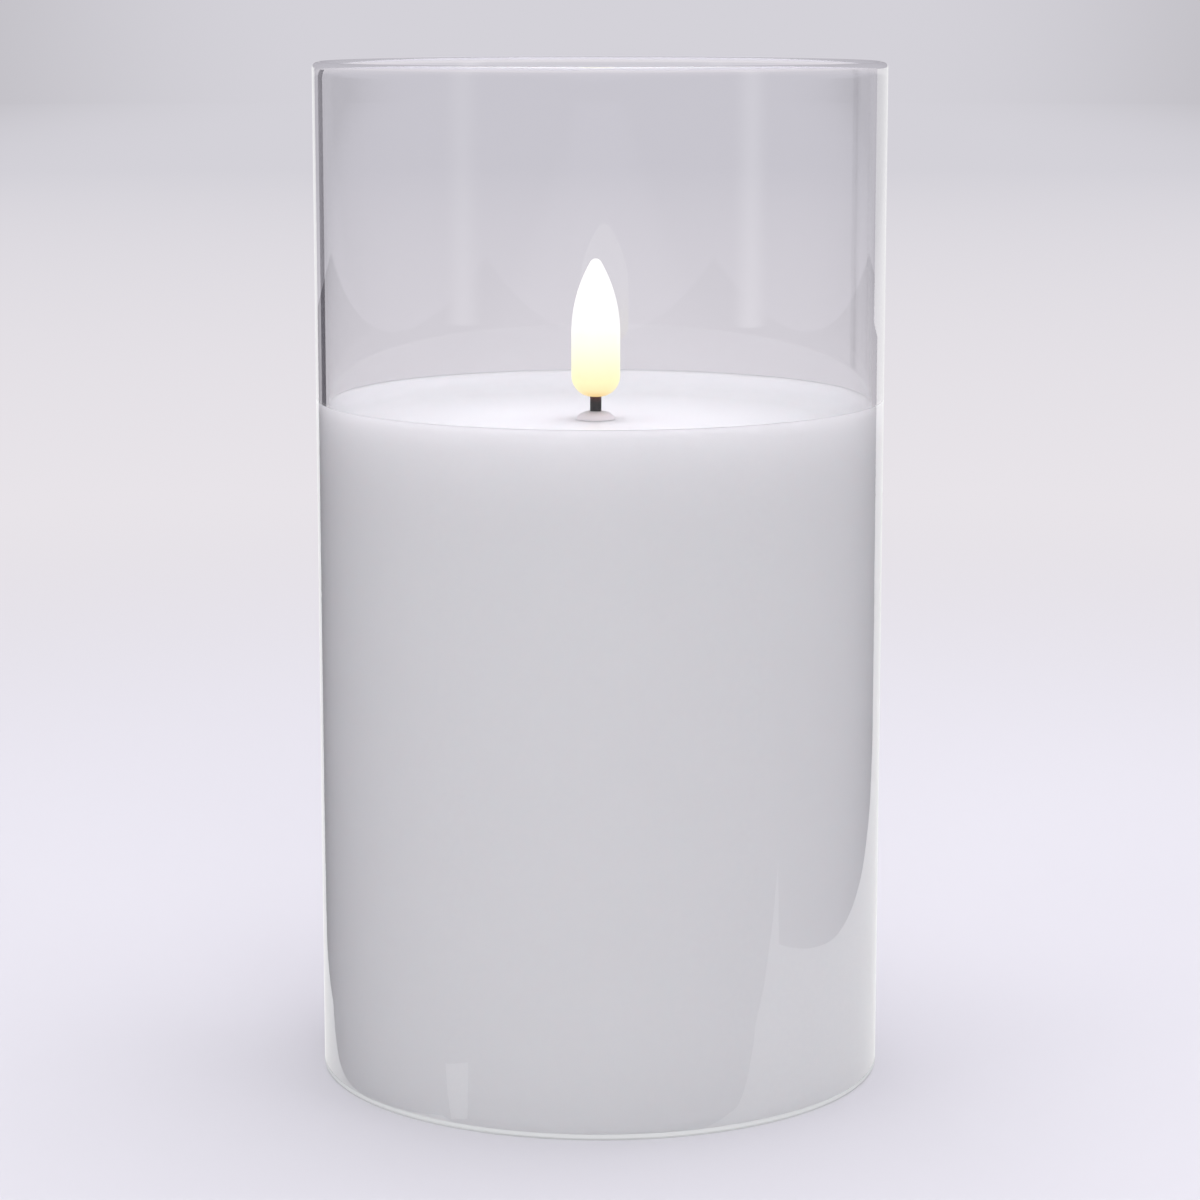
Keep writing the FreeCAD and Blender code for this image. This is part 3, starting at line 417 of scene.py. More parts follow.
def grain(tree, size_mm, height_mm, detail=3.0, stretch=(1, 1, 1)):
    """The normal of a bump from noise of a real feature size and a real height."""
    place = add(tree, "ShaderNodeTexCoord")
    laid = add(tree, "ShaderNodeMapping", {"Vector": place.outputs["Object"], "Scale": stretch})
    noise = add(tree, "ShaderNodeTexNoise", {"Vector": laid.outputs["Vector"], "Scale": per(size_mm),
                                             "Detail": detail})
    bump = add(tree, "ShaderNodeBump", {"Height": noise.outputs["Fac"], "Strength": 1.0,
                                        "Distance": height_mm * MM})
    return bump.outputs["Normal"]


def mottle(tree, size_mm, detail, hex_code, other_hex):
    """Noise of a real feature size, and the tone that it mixes from two colours."""
    place = add(tree, "ShaderNodeTexCoord")
    noise = add(tree, "ShaderNodeTexNoise", {"Vector": place.outputs["Object"], "Scale": per(size_mm),
                                             "Detail": detail})
    tone = add(tree, "ShaderNodeMix", {"Factor": noise.outputs["Fac"], "A": colour(hex_code),
                                       "B": colour(other_hex)}, data_type="RGBA")
    return noise.outputs["Fac"], tone.outputs["Result"]


def finished(name, size_mm, height_mm, inputs, detail=3.0, stretch=(1, 1, 1)):
    """A material of one surface, with a grain of a real size and height."""
    material, tree = new_tree(name)
    normal = grain(tree, size_mm, height_mm, detail, stretch)
    output(tree, add(tree, "ShaderNodeBsdfPrincipled", {**inputs, "Normal": normal}).outputs[0])
    return material


def shadowless(tree, surface, hex_code):
    """Let lamp rays pass a surface straight through, tinted by a colour."""
    path = add(tree, "ShaderNodeLightPath")
    through = add(tree, "ShaderNodeBsdfTransparent", {"Color": colour(hex_code)})
    mixed = add(tree, "ShaderNodeMixShader", {"Fac": path.outputs["Is Shadow Ray"], 1: surface,
                                              2: through.outputs[0]})
    return mixed.outputs[0]


# %% [markdown]
# ## Glass
# The cylinder is soda-lime glass, drawn as a tube, cut, and fire-polished at the lip. It is clear, but
# light that runs along the wall stays in it for longer than light that crosses it, so a little
# absorption helps to draw the edge. Drawing leaves long, shallow waves up the wall.
# Lamp rays pass straight through it, because bent lamp light is slow to gather and hardly changes. Light
# that enters the lip or the foot turns round inside the wall dozens of times. The renderer would stop it
# after a few turns and leave black, so after the third turn the glass hands it the tone of the room.

# %% Glass material
GLASS_IOR = 1.52
GLASS_TINT_HEX = "#FBFBFC"
GLASS_DEPTH_HEX = "#8A7F93"
GLASS_DENSITY = 9.0
DRAW_LINE_MM = 9.0
DRAW_LINE_HEIGHT_MM = 0.004
TRAPPED_HEX = "#C8C6CD"
TRAPPED_TURNS = 2.5

drawn_glass, tree = new_tree("drawn_soda_lime_glass")
waves = grain(tree, DRAW_LINE_MM, DRAW_LINE_HEIGHT_MM, detail=1.0, stretch=(1, 1, 0.08))
glass = add(tree, "ShaderNodeBsdfPrincipled", {
    "Base Color": colour(GLASS_TINT_HEX), "Roughness": 0.0, "IOR": GLASS_IOR, "Transmission Weight": 1.0,
    "Normal": waves})
path = add(tree, "ShaderNodeLightPath")
turns = add(tree, "ShaderNodeMath", {0: path.outputs["Glossy Depth"], 1: TRAPPED_TURNS},
            operation="GREATER_THAN")
trapped = add(tree, "ShaderNodeEmission", {"Color": colour(TRAPPED_HEX), "Strength": 1.0})
whole = add(tree, "ShaderNodeMixShader", {
    "Fac": turns.outputs[0], 1: shadowless(tree, glass.outputs[0], GLASS_TINT_HEX), 2: trapped.outputs[0]})
depth = add(tree, "ShaderNodeVolumeAbsorption", {"Color": colour(GLASS_DEPTH_HEX), "Density": GLASS_DENSITY})
output(tree, whole.outputs[0], Volume=depth.outputs[0])
print(drawn_glass.name, "made, index", GLASS_IOR)

# %% [markdown]
# A lip as round and as small as this one throws a glint from every facet of a coarse mesh. So the cylinder
# is turned again here, from the same outline as the CAD solid and in fine steps. Each tall wall has a short
# band at its upper end, so that the lip's turning normals don't lean the whole wall. The foot is ground
# flat and bevelled, which leaves it matt and pale to a little above the bevel, so it has a material of its
# own, and hides the edge of the wax behind it.

# %% Turning an outline
SHARP_TURN = 30.0


def turned(name, outline, steps):
    """A ring from an outline of (radius, height) points, spun round the upright axis."""
    mesh = bpy.data.meshes.new(name)
    form = bmesh.new()
    rings = []
    for step in range(steps):
        turn = math.tau * step / steps
        rings.append([form.verts.new((radius * math.cos(turn), radius * math.sin(turn), height))
                      for radius, height in outline])
    for ring, following in zip(rings, rings[1:] + rings[:1]):
        for at in range(len(outline)):
            form.faces.new((ring[at - 1], following[at - 1], following[at], ring[at]))
    bmesh.ops.recalc_face_normals(form, faces=form.faces)
    form.to_mesh(mesh)
    form.free()
    mesh.shade_smooth()
    mesh.set_sharp_from_angle(angle=math.radians(SHARP_TURN))
    return mesh


def placed(name, mesh, material, body="candle"):
    """A new piece that rides on a body, with the given material."""
    made = bpy.data.objects.new(name, mesh)
    scene.collection.objects.link(made)
    made.data.materials.clear()
    made.data.materials.append(material)
    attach(made, body)
    return made


# %% Glass cylinder
GLASS_WALL_MM = 2.1
GLASS_BEVEL_MM = 0.4
GLASS_BAND_MM = 1.5
GROUND_RISE_MM = 1.05
GROUND_HEX = "#E9EAEC"
GLASS_STEPS = 256
LIP_STEPS = 18

glass_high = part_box("glass_cylinder")[1]
wall = GLASS_WALL_MM * MM
bevel = GLASS_BEVEL_MM * MM
band = GLASS_BAND_MM * MM
outer = glass_high.x
bore = outer - wall
lip_z = glass_high.z - wall / 2
lip = [(bore + wall / 2 + wall / 2 * math.cos(turn), lip_z + wall / 2 * math.sin(turn))
       for turn in [math.pi * step / LIP_STEPS for step in range(LIP_STEPS + 1)]]
ground = GROUND_RISE_MM * MM
outline = [(outer - bevel, 0.0), (outer, bevel), (outer, ground), (outer, lip_z - band), *lip,
           (bore, lip_z - band), (bore, bevel), (bore + bevel, 0.0)]
ground_glass = finished("ground_glass_foot", 0.3, 0.02, {
    "Base Color": colour(GROUND_HEX), "Roughness": 0.7, "IOR": GLASS_IOR})
glass_mesh = turned("drawn_glass_cylinder", outline, GLASS_STEPS)
cylinder = placed("drawn_glass_cylinder", glass_mesh, drawn_glass)
cylinder.data.materials.append(ground_glass)
for face in cylinder.data.polygons:
    face.material_index = int(face.center.z < ground)
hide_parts("glass_cylinder")
print("glass", len(cylinder.data.polygons), "faces, bore", round(bore, 4), "m")

# %% [markdown]
# ## Wax
# The candle is paraffin wax, poured into the glass. It wets the wall, so no film of air stays between
# them and the wax fills the whole silhouette, up to one thin bright line. Two surfaces at one place
# would flicker, and a gap would mirror like a second glass. So a copy of the CAD wax reaches a little
# way into the wall: a ray in the glass then meets wax, and never the air that isn't there.
# Light goes into paraffin for some millimetres before it comes out again, so the top glows through the
# wall just below the crest, and no shadow on it is sharp. At the foot the white base sends that light
# back, which the model shows as a wall that scatters closer the lower it is. The rim thins out to an edge,
# where light hasn't room to spread, so its upper face scatters closer too and stays white up to the glass.
# Slow cooling leaves a very shallow unevenness and a faint frosted mottle of fine crystals. The top's
# tone is painted light and shade: a painted shade band on the slope just inside the glass, a painted
# highlight along the thin crest, and a painted shade that darkens the pool towards its middle.

# %% Wax material
WAX_HEX = "#F7F7F7"
WAX_MOTTLE_HEX = "#F3F3F4"
WAX_IOR = 1.44
WAX_SCATTER_MM = 7.0
FOOT_SCATTER_MM = 0.4
FOOT_LOW_MM = 0.6
FOOT_HIGH_MM = 14.0
RIM_SCATTER_MM = 0.8
RIM_START_MM = 44.0
RIM_END_MM = 47.6
WALL_MM = 47.95
WAX_WAVE_MM = 14.0
WAX_WAVE_HEIGHT_MM = 0.05
WAX_CRYSTAL_MM = 0.9
TONE_START_MM = 12.0
TONE_END_MM = 48.0
# Painted light and shade across the top: darker in the middle, white towards the rim, a painted shade band on
# the slope inside the glass and a painted highlight on the crest.
TOP_LIGHT_AND_SHADE_STOPS = ((0.0, "#F6F4F8"), (0.5, "#FBFAFD"), (0.78, "#FFFFFF"), (0.88, "#FFFEFF"), (0.95, "#F6F5F8"),
              (0.98, "#F6F5F8"), (0.99, "#FFFFFF"))

poured_wax, tree = new_tree("poured_paraffin_wax")
waves = grain(tree, WAX_WAVE_MM, WAX_WAVE_HEIGHT_MM, detail=2.0)
wall_tone = mottle(tree, WAX_CRYSTAL_MM, 2.0, WAX_HEX, WAX_MOTTLE_HEX)[1]
split = axes(tree)
wall_scatter = add(tree, "ShaderNodeMapRange", {
    "Value": split["Z"], "From Min": FOOT_LOW_MM * MM, "From Max": FOOT_HIGH_MM * MM,
    "To Min": FOOT_SCATTER_MM * MM, "To Max": WAX_SCATTER_MM * MM}, interpolation_type="SMOOTHSTEP")
radius = away(tree, split)
top_scatter = add(tree, "ShaderNodeMapRange", {
    "Value": radius, "From Min": RIM_START_MM * MM, "From Max": RIM_END_MM * MM,
    "To Min": WAX_SCATTER_MM * MM, "To Max": RIM_SCATTER_MM * MM}, interpolation_type="SMOOTHSTEP")
# The top's painted light and shade, laid out by distance from the axis.
painted_light_place = add(tree, "ShaderNodeMapRange", {"Value": radius, "From Min": TONE_START_MM * MM,
                                         "From Max": TONE_END_MM * MM})
painted_top_light = graded(tree, painted_light_place.outputs["Result"], TOP_LIGHT_AND_SHADE_STOPS)
on_wall = add(tree, "ShaderNodeMath", {0: radius, 1: WALL_MM * MM}, operation="GREATER_THAN")
scatter = add(tree, "ShaderNodeMix", {"Factor": on_wall.outputs[0], "A": top_scatter.outputs["Result"],
                                      "B": wall_scatter.outputs["Result"]}, data_type="FLOAT")
tone = add(tree, "ShaderNodeMix", {"Factor": on_wall.outputs[0], "A": painted_top_light.outputs["Color"],
                                   "B": wall_tone}, data_type="RGBA")
wax = add(tree, "ShaderNodeBsdfPrincipled", {
    "Base Color": tone.outputs["Result"], "Roughness": 0.42, "IOR": WAX_IOR,
    "Subsurface Weight": 1.0, "Subsurface Radius": (1.0, 0.95, 0.95),
    "Subsurface Scale": scatter.outputs["Result"], "Normal": waves})
output(tree, wax.outputs[0])
print(poured_wax.name, "scatters over", WAX_SCATTER_MM, "mm")

# %% Wetting the wall
WETTING_MM = 0.15
WALL_SLACK_MM = 0.02

wax_mesh = nodes["wax_candle"].data.copy()
wax_mesh.name = "poured_wax_body"
radii = [math.hypot(vertex.co.x, vertex.co.y) for vertex in wax_mesh.vertices]
for vertex, radius in zip(wax_mesh.vertices, radii):
    if radius > max(radii) - WALL_SLACK_MM * MM:
        grow = 1 + WETTING_MM * MM / radius
        vertex.co.x *= grow
        vertex.co.y *= grow
wax_body = placed("poured_wax_body", wax_mesh, poured_wax)
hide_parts("wax_candle")
print("wax body", len(wax_mesh.vertices), "vertices")

# %% [markdown]
# ## Flame bulb
# The flame is a hollow bulb of frosted plastic with a lamp in its foot. Lit, it is white over most of
# its height, pale yellow near the bottom and deeper yellow where it closes round the wick. A colour
# ramp over its real height gives that, because the light inside falls off with distance from the lamp.
# Frosted plastic hardly dims the lamps behind it, so their rays pass, and the wax gets no hard shadow.
# The wax beside the photo's bulb is hardly lighter than the rest. So the bulb gives the eye its full glow,
# and the wax a small share of it.

# %% Flame bulb material
BULB_LIGHT = 1.0
BULB_SHARE = 0.1
BULB_BASE_HEX = "#5A5648"
BULB_THROUGH_HEX = "#E6E6E6"
BULB_STOPS = ((0.0, "#F2C878"), (0.05, "#FFEBAE"), (0.12, "#FFFBC0"), (0.25, "#FFFFDA"),
              (0.40, "#FFFFF4"), (0.52, "#FFFFFF"))

bulb_low, bulb_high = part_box("flame_bulb")
frosted_bulb, tree = new_tree("frosted_polycarbonate_bulb")
height = add(tree, "ShaderNodeMapRange", {"Value": axes(tree)["Z"], "From Min": bulb_low.z,
                                          "From Max": bulb_high.z})
glow = graded(tree, height.outputs["Result"], BULB_STOPS)
frosting = grain(tree, 0.25, 0.01)
path = add(tree, "ShaderNodeLightPath")
strength = add(tree, "ShaderNodeMapRange", {"Value": path.outputs["Is Diffuse Ray"], "To Min": BULB_LIGHT,
                                            "To Max": BULB_LIGHT * BULB_SHARE})
bulb = add(tree, "ShaderNodeBsdfPrincipled", {
    "Base Color": colour(BULB_BASE_HEX), "Roughness": 0.5, "IOR": 1.58,
    "Emission Color": glow.outputs["Color"], "Emission Strength": strength.outputs["Result"],
    "Normal": frosting})
output(tree, shadowless(tree, bulb.outputs[0], BULB_THROUGH_HEX))
dress(frosted_bulb, "flame_bulb")

# %% Light of the flame
FLAME_WATTS = 0.002

flame_light = bpy.data.lights.new("flame_light", "POINT")
flame_light.energy = FLAME_WATTS
flame_light.color = colour("#FFF9EE")[:3]
flame_light.shadow_soft_size = (bulb_high.x - bulb_low.x) / 2
flame_lamp = hung("flame_light", flame_light, (bulb_low + bulb_high) / 2)
print("flame light at", round(flame_lamp.location.z, 4), "m")

# %% [markdown]
# ## Wick and collar
# The wick is a stiff black sleeve over the lamp's two wires. The lamp's light turns its top reddish brown,
# where it comes through the thin plastic. It stands in a small domed collar, moulded in polypropylene
# that is as white and as cloudy as the wax.

# %% Wick and collar materials
WICK_HEX = "#0C0A0B"
WICK_GLOW_HEX = "#4A2114"
WICK_GLOW_MM = 1.1
COLLAR_HEX = "#EFE8E9"
COLLAR_SCATTER_MM = 0.25

heat_shrunk_sleeve, tree = new_tree("heat_shrunk_black_sleeve")
ribs = grain(tree, 0.4, 0.03, stretch=(1, 1, 0.3))
near_lamp = add(tree, "ShaderNodeMapRange", {
    "Value": axes(tree)["Z"], "From Min": bulb_low.z - WICK_GLOW_MM * MM, "From Max": bulb_low.z},
                interpolation_type="SMOOTHSTEP")
tone = add(tree, "ShaderNodeMix", {"Factor": near_lamp.outputs["Result"], "A": colour(WICK_HEX),
                                   "B": colour(WICK_GLOW_HEX)}, data_type="RGBA")
sleeve = add(tree, "ShaderNodeBsdfPrincipled", {"Base Color": tone.outputs["Result"], "Roughness": 0.7,
                                                "IOR": 1.5, "Normal": ribs})
output(tree, sleeve.outputs[0])
dress(heat_shrunk_sleeve, "wick_sleeve")

cloudy_polypropylene = finished("cloudy_moulded_polypropylene", 0.5, 0.01, {
    "Base Color": colour(COLLAR_HEX), "Roughness": 0.4, "IOR": 1.49, "Subsurface Weight": 1.0,
    "Subsurface Radius": (1.0, 0.97, 0.95), "Subsurface Scale": COLLAR_SCATTER_MM * MM})
dress(cloudy_polypropylene, "wick_collar")

# %% [markdown]
# ## Moulded plastics
# The base housing, its door and the inner cover are injection-moulded ABS. Their mould was spark-eroded,
# which leaves an even, fine pebble of about 0.15 mm that takes the gloss off; it is drawn at 0.4 mm here,
# because a finer one wouldn't show. Plastic never flows quite evenly, so colour and gloss drift a little
# over some millimetres. One function makes every such surface, plastic or metal, from its own values.

# %% Moulded plastic
DRIFT_MM = 9.0
DRIFT_DETAIL = 3.0
GLOSS_DRIFT = 0.06


def drifting(name, tones, roughness, drift_mm, drift_detail, grain_values, inputs):
    """A grained surface whose colour and gloss drift a little over a real distance."""
    material, tree = new_tree(name)
    normal = grain(tree, *grain_values)
    drift, tone = mottle(tree, drift_mm, drift_detail, *tones)
    gloss = add(tree, "ShaderNodeMapRange", {"Value": drift, "To Min": roughness - GLOSS_DRIFT,
                                             "To Max": roughness + GLOSS_DRIFT})
    skin = add(tree, "ShaderNodeBsdfPrincipled", {"Base Color": tone, "Roughness": gloss.outputs["Result"],
                                                  "Normal": normal, **inputs})
    output(tree, skin.outputs[0])
    return material


def moulded(name, tones, roughness, ior, pebble_mm, pebble_height_mm):
    """Opaque plastic from a mould, with its pebbled skin."""
    skin = (pebble_mm, pebble_height_mm)
    return drifting(name, tones, roughness, DRIFT_MM, DRIFT_DETAIL, skin, {"IOR": ior})


white_abs = moulded("spark_grained_white_abs", ("#F1F0EE", "#E9E8E5"), 0.5, 1.53, 0.4, 0.02)
dress(white_abs, "base_housing", "battery_door", "inner_cover")
black_acetal = moulded("smooth_black_acetal", ("#17171A", "#1E1E21"), 0.32, 1.48, 0.6, 0.006)
dress(black_acetal, "switch_knob")

# %% [markdown]
# The bead of sealant between the base plate and the wax is neutral silicone. It is rubbery and cloudy,
# and it was smoothed with a wet finger, so its face is glossier than the plastic and a little wavy.

# %% Sealant
SEALANT_HEX = "#E8E8E9"

silicone = finished("smoothed_silicone_sealant", 2.5, 0.05, {
    "Base Color": colour(SEALANT_HEX), "Roughness": 0.3, "IOR": 1.41, "Subsurface Weight": 1.0,
    "Subsurface Radius": (1.0, 1.0, 1.0), "Subsurface Scale": MM}, detail=1.0)
dress(silicone, "sealing_bead")

# %% [markdown]
# ## Metals
# Contacts and springs are nickel-plated steel: warm, bright, with faint lines where the strip was rolled.
# Screws are zinc-plated, bluer and cloudier. The switch case is tinned, and the two cans on the board are
# bare aluminium and nickel silver. A metal has no diffuse colour, so its tone is all reflection, and its
# roughness is what tells one plating from another.

# %% Metal
ROLLED = (0.15, 1, 1)
EVEN = (1, 1, 1)
CLOUD_DETAIL = 4.0


def plated(name, tones, roughness, cloud_mm, line_height_mm, stretch):
    """A metal with a cloudy plating and fine lines from its making, a quarter as wide as the clouds."""
    lines = (cloud_mm / 4, line_height_mm, 3.0, stretch)
    return drifting(name, tones, roughness, cloud_mm, CLOUD_DETAIL, lines, {"Metallic": 1.0})


# Material, its two tones, roughness, size of the clouds and height of the lines in mm, stretch, pieces
METALS = (
    ("nickel_plated_strip", ("#D6CFC2", "#C9C1B2"), 0.24, 2.0, 0.003, ROLLED,
     ("positive_contact", "negative_contact", "bridge_contact")),
    ("nickel_plated_spring_wire", ("#D9D3C8", "#CBC4B6"), 0.2, 1.2, 0.002, EVEN,
     ("negative_spring", "bridge_spring")),
    ("clear_zinc_plate", ("#CBD0D6", "#B3B9C0"), 0.34, 1.0, 0.004, EVEN, ("cover_screws", "board_screws")),
    ("folded_tinned_sheet", ("#D0D1D2", "#BFC1C3"), 0.3, 2.4, 0.003, ROLLED, ("switch_case",)),
    ("drawn_nickel_silver", ("#D3CFC6", "#C4C0B6"), 0.22, 1.5, 0.002, ROLLED, ("timer_crystal",)),
)
for *values, pieces in METALS:
    dress(plated(*values), *pieces)

# %% [markdown]
# ## Battery cells
# Each cell is a steel can in a shrunk and printed plastic sleeve. The sleeve wraps a little way over both
# ends, and inside that edge the bare plated steel shows. So one distance, from the cell's own axis, tells
# sleeve from steel, and the place along the axis gives the pale band at the raised end.

# %% Cell sleeve
SLEEVE_HEX = "#2C5A57"
SLEEVE_DARK_HEX = "#254E4B"
BAND_HEX = "#D5DAD8"
STEEL_HEX = "#CFCBC2"
STEEL_RADIUS_MM = 5.4
BAND_START_MM = 38.0
INK_MM = 3.0
CELL_AXIS_OUT = (0, 1, 1)
# Each cell, and the way along X that its raised end points
CELLS = (("battery_cell_front", 1), ("battery_cell_back", -1))


def cell_sleeve(node, heading):
    """Printed sleeve and bare ends of one cell, whose raised end lies towards heading along X."""
    low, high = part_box(node)
    start_x = low.x if heading > 0 else high.x
    middle = (low + high) / 2
    material, tree = new_tree("shrunk_sleeve_of_" + node)
    place = add(tree, "ShaderNodeTexCoord")
    from_axis = add(tree, "ShaderNodeVectorMath", {0: place.outputs["Object"], 1: middle},
                    operation="SUBTRACT")
    across = add(tree, "ShaderNodeVectorMath", {0: from_axis.outputs["Vector"], 1: CELL_AXIS_OUT},
                 operation="MULTIPLY")
    radius = add(tree, "ShaderNodeVectorMath", {0: across.outputs["Vector"]}, operation="LENGTH")
    sleeved = add(tree, "ShaderNodeMath", {0: radius.outputs["Value"], 1: STEEL_RADIUS_MM * MM},
                  operation="GREATER_THAN")
    along = add(tree, "ShaderNodeMath", {0: axes(tree)["X"], 1: heading, 2: -heading * start_x},
                operation="MULTIPLY_ADD")
    band = add(tree, "ShaderNodeMath", {0: along.outputs[0], 1: BAND_START_MM * MM}, operation="GREATER_THAN")
    ground = mottle(tree, INK_MM, 3.0, SLEEVE_HEX, SLEEVE_DARK_HEX)[1]
    printed = add(tree, "ShaderNodeMix", {"Factor": band.outputs[0], "A": ground, "B": colour(BAND_HEX)},
                  data_type="RGBA")
    sleeve = add(tree, "ShaderNodeBsdfPrincipled", {
        "Base Color": printed.outputs["Result"], "Roughness": 0.28, "IOR": 1.54,
        "Normal": grain(tree, INK_MM, 0.004)})
    steel = add(tree, "ShaderNodeBsdfPrincipled", {"Base Color": colour(STEEL_HEX), "Metallic": 1.0,
                                                   "Roughness": 0.25})
    whole = add(tree, "ShaderNodeMixShader", {"Fac": sleeved.outputs[0], 1: steel.outputs[0],
                                              2: sleeve.outputs[0]})
    output(tree, whole.outputs[0])
    return material


for node, heading in CELLS:
    dress(cell_sleeve(node, heading), node)

# %% [markdown]
# ## Wires
# The leads are stranded copper in soft PVC, red and black. The last millimetre at the board is stripped
# and tinned, which the material shows by height, because every lead goes down into the board.

# %% Wire insulation
BOARD_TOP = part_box("circuit_board")[1].z
STRIPPED_MM = 1.0


def insulated(name, hex_code):
    """Soft PVC insulation whose end at the board is bare and tinned."""
    material, tree = new_tree(name)
    covered = add(tree, "ShaderNodeMath", {0: axes(tree)["Z"], 1: BOARD_TOP + STRIPPED_MM * MM},
                  operation="GREATER_THAN")
    tinned = add(tree, "ShaderNodeBsdfPrincipled", {"Base Color": colour("#CFCFCE"), "Metallic": 1.0,
                                                    "Roughness": 0.3})
    pvc = add(tree, "ShaderNodeBsdfPrincipled", {"Base Color": colour(hex_code), "Roughness": 0.38,
                                                 "IOR": 1.53, "Normal": grain(tree, 0.8, 0.008)})
    whole = add(tree, "ShaderNodeMixShader", {"Fac": covered.outputs[0], 1: tinned.outputs[0],
                                              2: pvc.outputs[0]})
    output(tree, whole.outputs[0])
    return material


dress(insulated("soft_red_pvc", "#A3181A"), "lamp_wire_red", "battery_wire_red")
dress(insulated("soft_black_pvc", "#1A1A1B"), "lamp_wire_black", "battery_wire_black")

# %% [markdown]
# ## Circuit board and its parts
# The board is glass cloth in epoxy under a green solder mask. Under the mask the copper runs lighter than
# the bare board, as parallel tracks some 1.3 mm apart. Its small parts mix two materials in one piece, and
# a distance from the piece's own middle tells them apart: chip from legs, resistor from its tinned ends,
# capacitor sleeve from its bare top.

# %% Solder mask
TRACK_PITCH_MM = 1.3
TRACK_SHARE = 0.45
MASK_HEX = "#0E4A26"
TRACK_HEX = "#1B6B38"

solder_mask, tree = new_tree("green_solder_mask_on_glass_epoxy")
pitched = add(tree, "ShaderNodeMath", {0: axes(tree)["X"], 1: per(TRACK_PITCH_MM)}, operation="MULTIPLY")
phase = add(tree, "ShaderNodeMath", {0: pitched.outputs[0]}, operation="FRACT")
track = add(tree, "ShaderNodeMath", {0: phase.outputs[0], 1: TRACK_SHARE}, operation="LESS_THAN")
tone = add(tree, "ShaderNodeMix", {"Factor": track.outputs[0], "A": colour(MASK_HEX), "B": colour(TRACK_HEX)},
           data_type="RGBA")
mask = add(tree, "ShaderNodeBsdfPrincipled", {"Base Color": tone.outputs["Result"], "Roughness": 0.3,
                                              "IOR": 1.55, "Normal": grain(tree, 0.5, 0.01)})
output(tree, mask.outputs[0])
dress(solder_mask, "circuit_board")


# %% Two materials in one piece
def two_part(name, node, axis, reach_mm, inner_hex, outer_hex):
    """Plastic near a piece's middle along an axis, and bare metal beyond a given reach."""
    low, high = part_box(node)
    material, tree = new_tree(name)
    middle = dict(zip("XYZ", (low + high) / 2))[axis]
    moved = add(tree, "ShaderNodeMath", {0: axes(tree)[axis], 1: middle}, operation="SUBTRACT")
    reach = add(tree, "ShaderNodeMath", {0: moved.outputs[0]}, operation="ABSOLUTE")
    outer = add(tree, "ShaderNodeMath", {0: reach.outputs[0], 1: reach_mm * MM}, operation="GREATER_THAN")
    core = add(tree, "ShaderNodeBsdfPrincipled", {"Base Color": colour(inner_hex), "Roughness": 0.5,
                                                  "IOR": 1.55, "Normal": grain(tree, 0.3, 0.005)})
    ends = add(tree, "ShaderNodeBsdfPrincipled", {"Base Color": colour(outer_hex), "Roughness": 0.3,
                                                  "Metallic": 1.0})
    whole = add(tree, "ShaderNodeMixShader", {"Fac": outer.outputs[0], 1: core.outputs[0],
                                              2: ends.outputs[0]})
    output(tree, whole.outputs[0])
    return material


# Material, piece, axis, reach in mm, inner and outer colour
TWO_PARTS = (("epoxy_chip_with_tinned_legs", "timer_chip", "Y", 1.95, "#19191B", "#CDCDCC"),
             ("chip_resistor_with_tinned_ends", "resistors", "X", 1.2, "#1B1A1C", "#CFCFCD"),
             ("sleeved_aluminium_can", "capacitor", "Z", 2.75, "#1D2233", "#D4D5D7"))
for values in TWO_PARTS:
    dress(two_part(*values), values[1])

# %% Lamp lens
clear_epoxy = finished("cast_clear_epoxy_lens", 1.5, 0.01, {
    "Base Color": colour("#F4EEDC"), "Roughness": 0.08, "IOR": 1.52, "Transmission Weight": 0.85})
dress(clear_epoxy, "flame_lamp")

# %% [markdown]
# ## Words and marks
# The underside carries the plain words that any such base needs. The three places of the switch and the
# poles beside the battery bay are pad-printed in grey ink. The door's own words are raised in its moulding,
# in the same white plastic, so they show by their edges alone. Every word is a closed solid, made from
# Blender's own letter shapes; the moulded ones have slightly widened strokes. The underside is read
# from below, with the front of the candle upwards.

# %% Letters
LETTER_STEPS = 3


def letters(name, text, size_mm, thick_mm, stroke_share=0.0):
    """Solid letters in the XY plane round the origin, half above it, with strokes widened by a share."""
    curve = bpy.data.curves.new(name, "FONT")
    curve.body = text
    curve.size = size_mm * MM
    curve.extrude = thick_mm * MM / 2
    curve.resolution_u = LETTER_STEPS
    curve.offset = stroke_share * size_mm * MM
    curve.align_x = "CENTER"
    curve.align_y = "CENTER"
    typed = bpy.data.objects.new(name, curve)
    scene.collection.objects.link(typed)
    bpy.context.view_layer.update()
    ready = typed.evaluated_get(bpy.context.evaluated_depsgraph_get())
    mesh = bpy.data.meshes.new_from_object(ready)
    bpy.data.objects.remove(typed)
    bpy.data.curves.remove(curve)
    form = bmesh.new()
    form.from_mesh(mesh)
    bmesh.ops.remove_doubles(form, verts=form.verts, dist=0.0005 * MM)
    form.to_mesh(mesh)
    form.free()
    return mesh


def bar(length_mm, width_mm, thick_mm):
    """A flat bar along X with pointed ends, lying as the letters do."""
    half = length_mm / 2
    side = width_mm / 2
    outline = [(-half, 0), (side - half, -side), (half - side, -side), (half, 0), (half - side, side),
               (side - half, side)]
    mesh = bpy.data.meshes.new("bar")
    form = bmesh.new()
    low, high = [[form.verts.new((x * MM, y * MM, level * thick_mm / 2 * MM)) for x, y in outline]
                 for level in (-1, 1)]
    form.faces.new(low[::-1])
    form.faces.new(high)
    for at in range(len(outline)):
        form.faces.new((low[at - 1], low[at], high[at], high[at - 1]))
    form.to_mesh(mesh)
    form.free()
    return mesh


def gathered(name, parts):
    """One mesh from many, each moved by its own matrix."""
    form = bmesh.new()
    for mesh, matrix in parts:
        mesh.transform(matrix)
        form.from_mesh(mesh)
        bpy.data.meshes.remove(mesh)
    made = bpy.data.meshes.new(name)
    form.to_mesh(made)
    form.free()
    return made


print("letters are", LETTER_STEPS, "steps a curve")

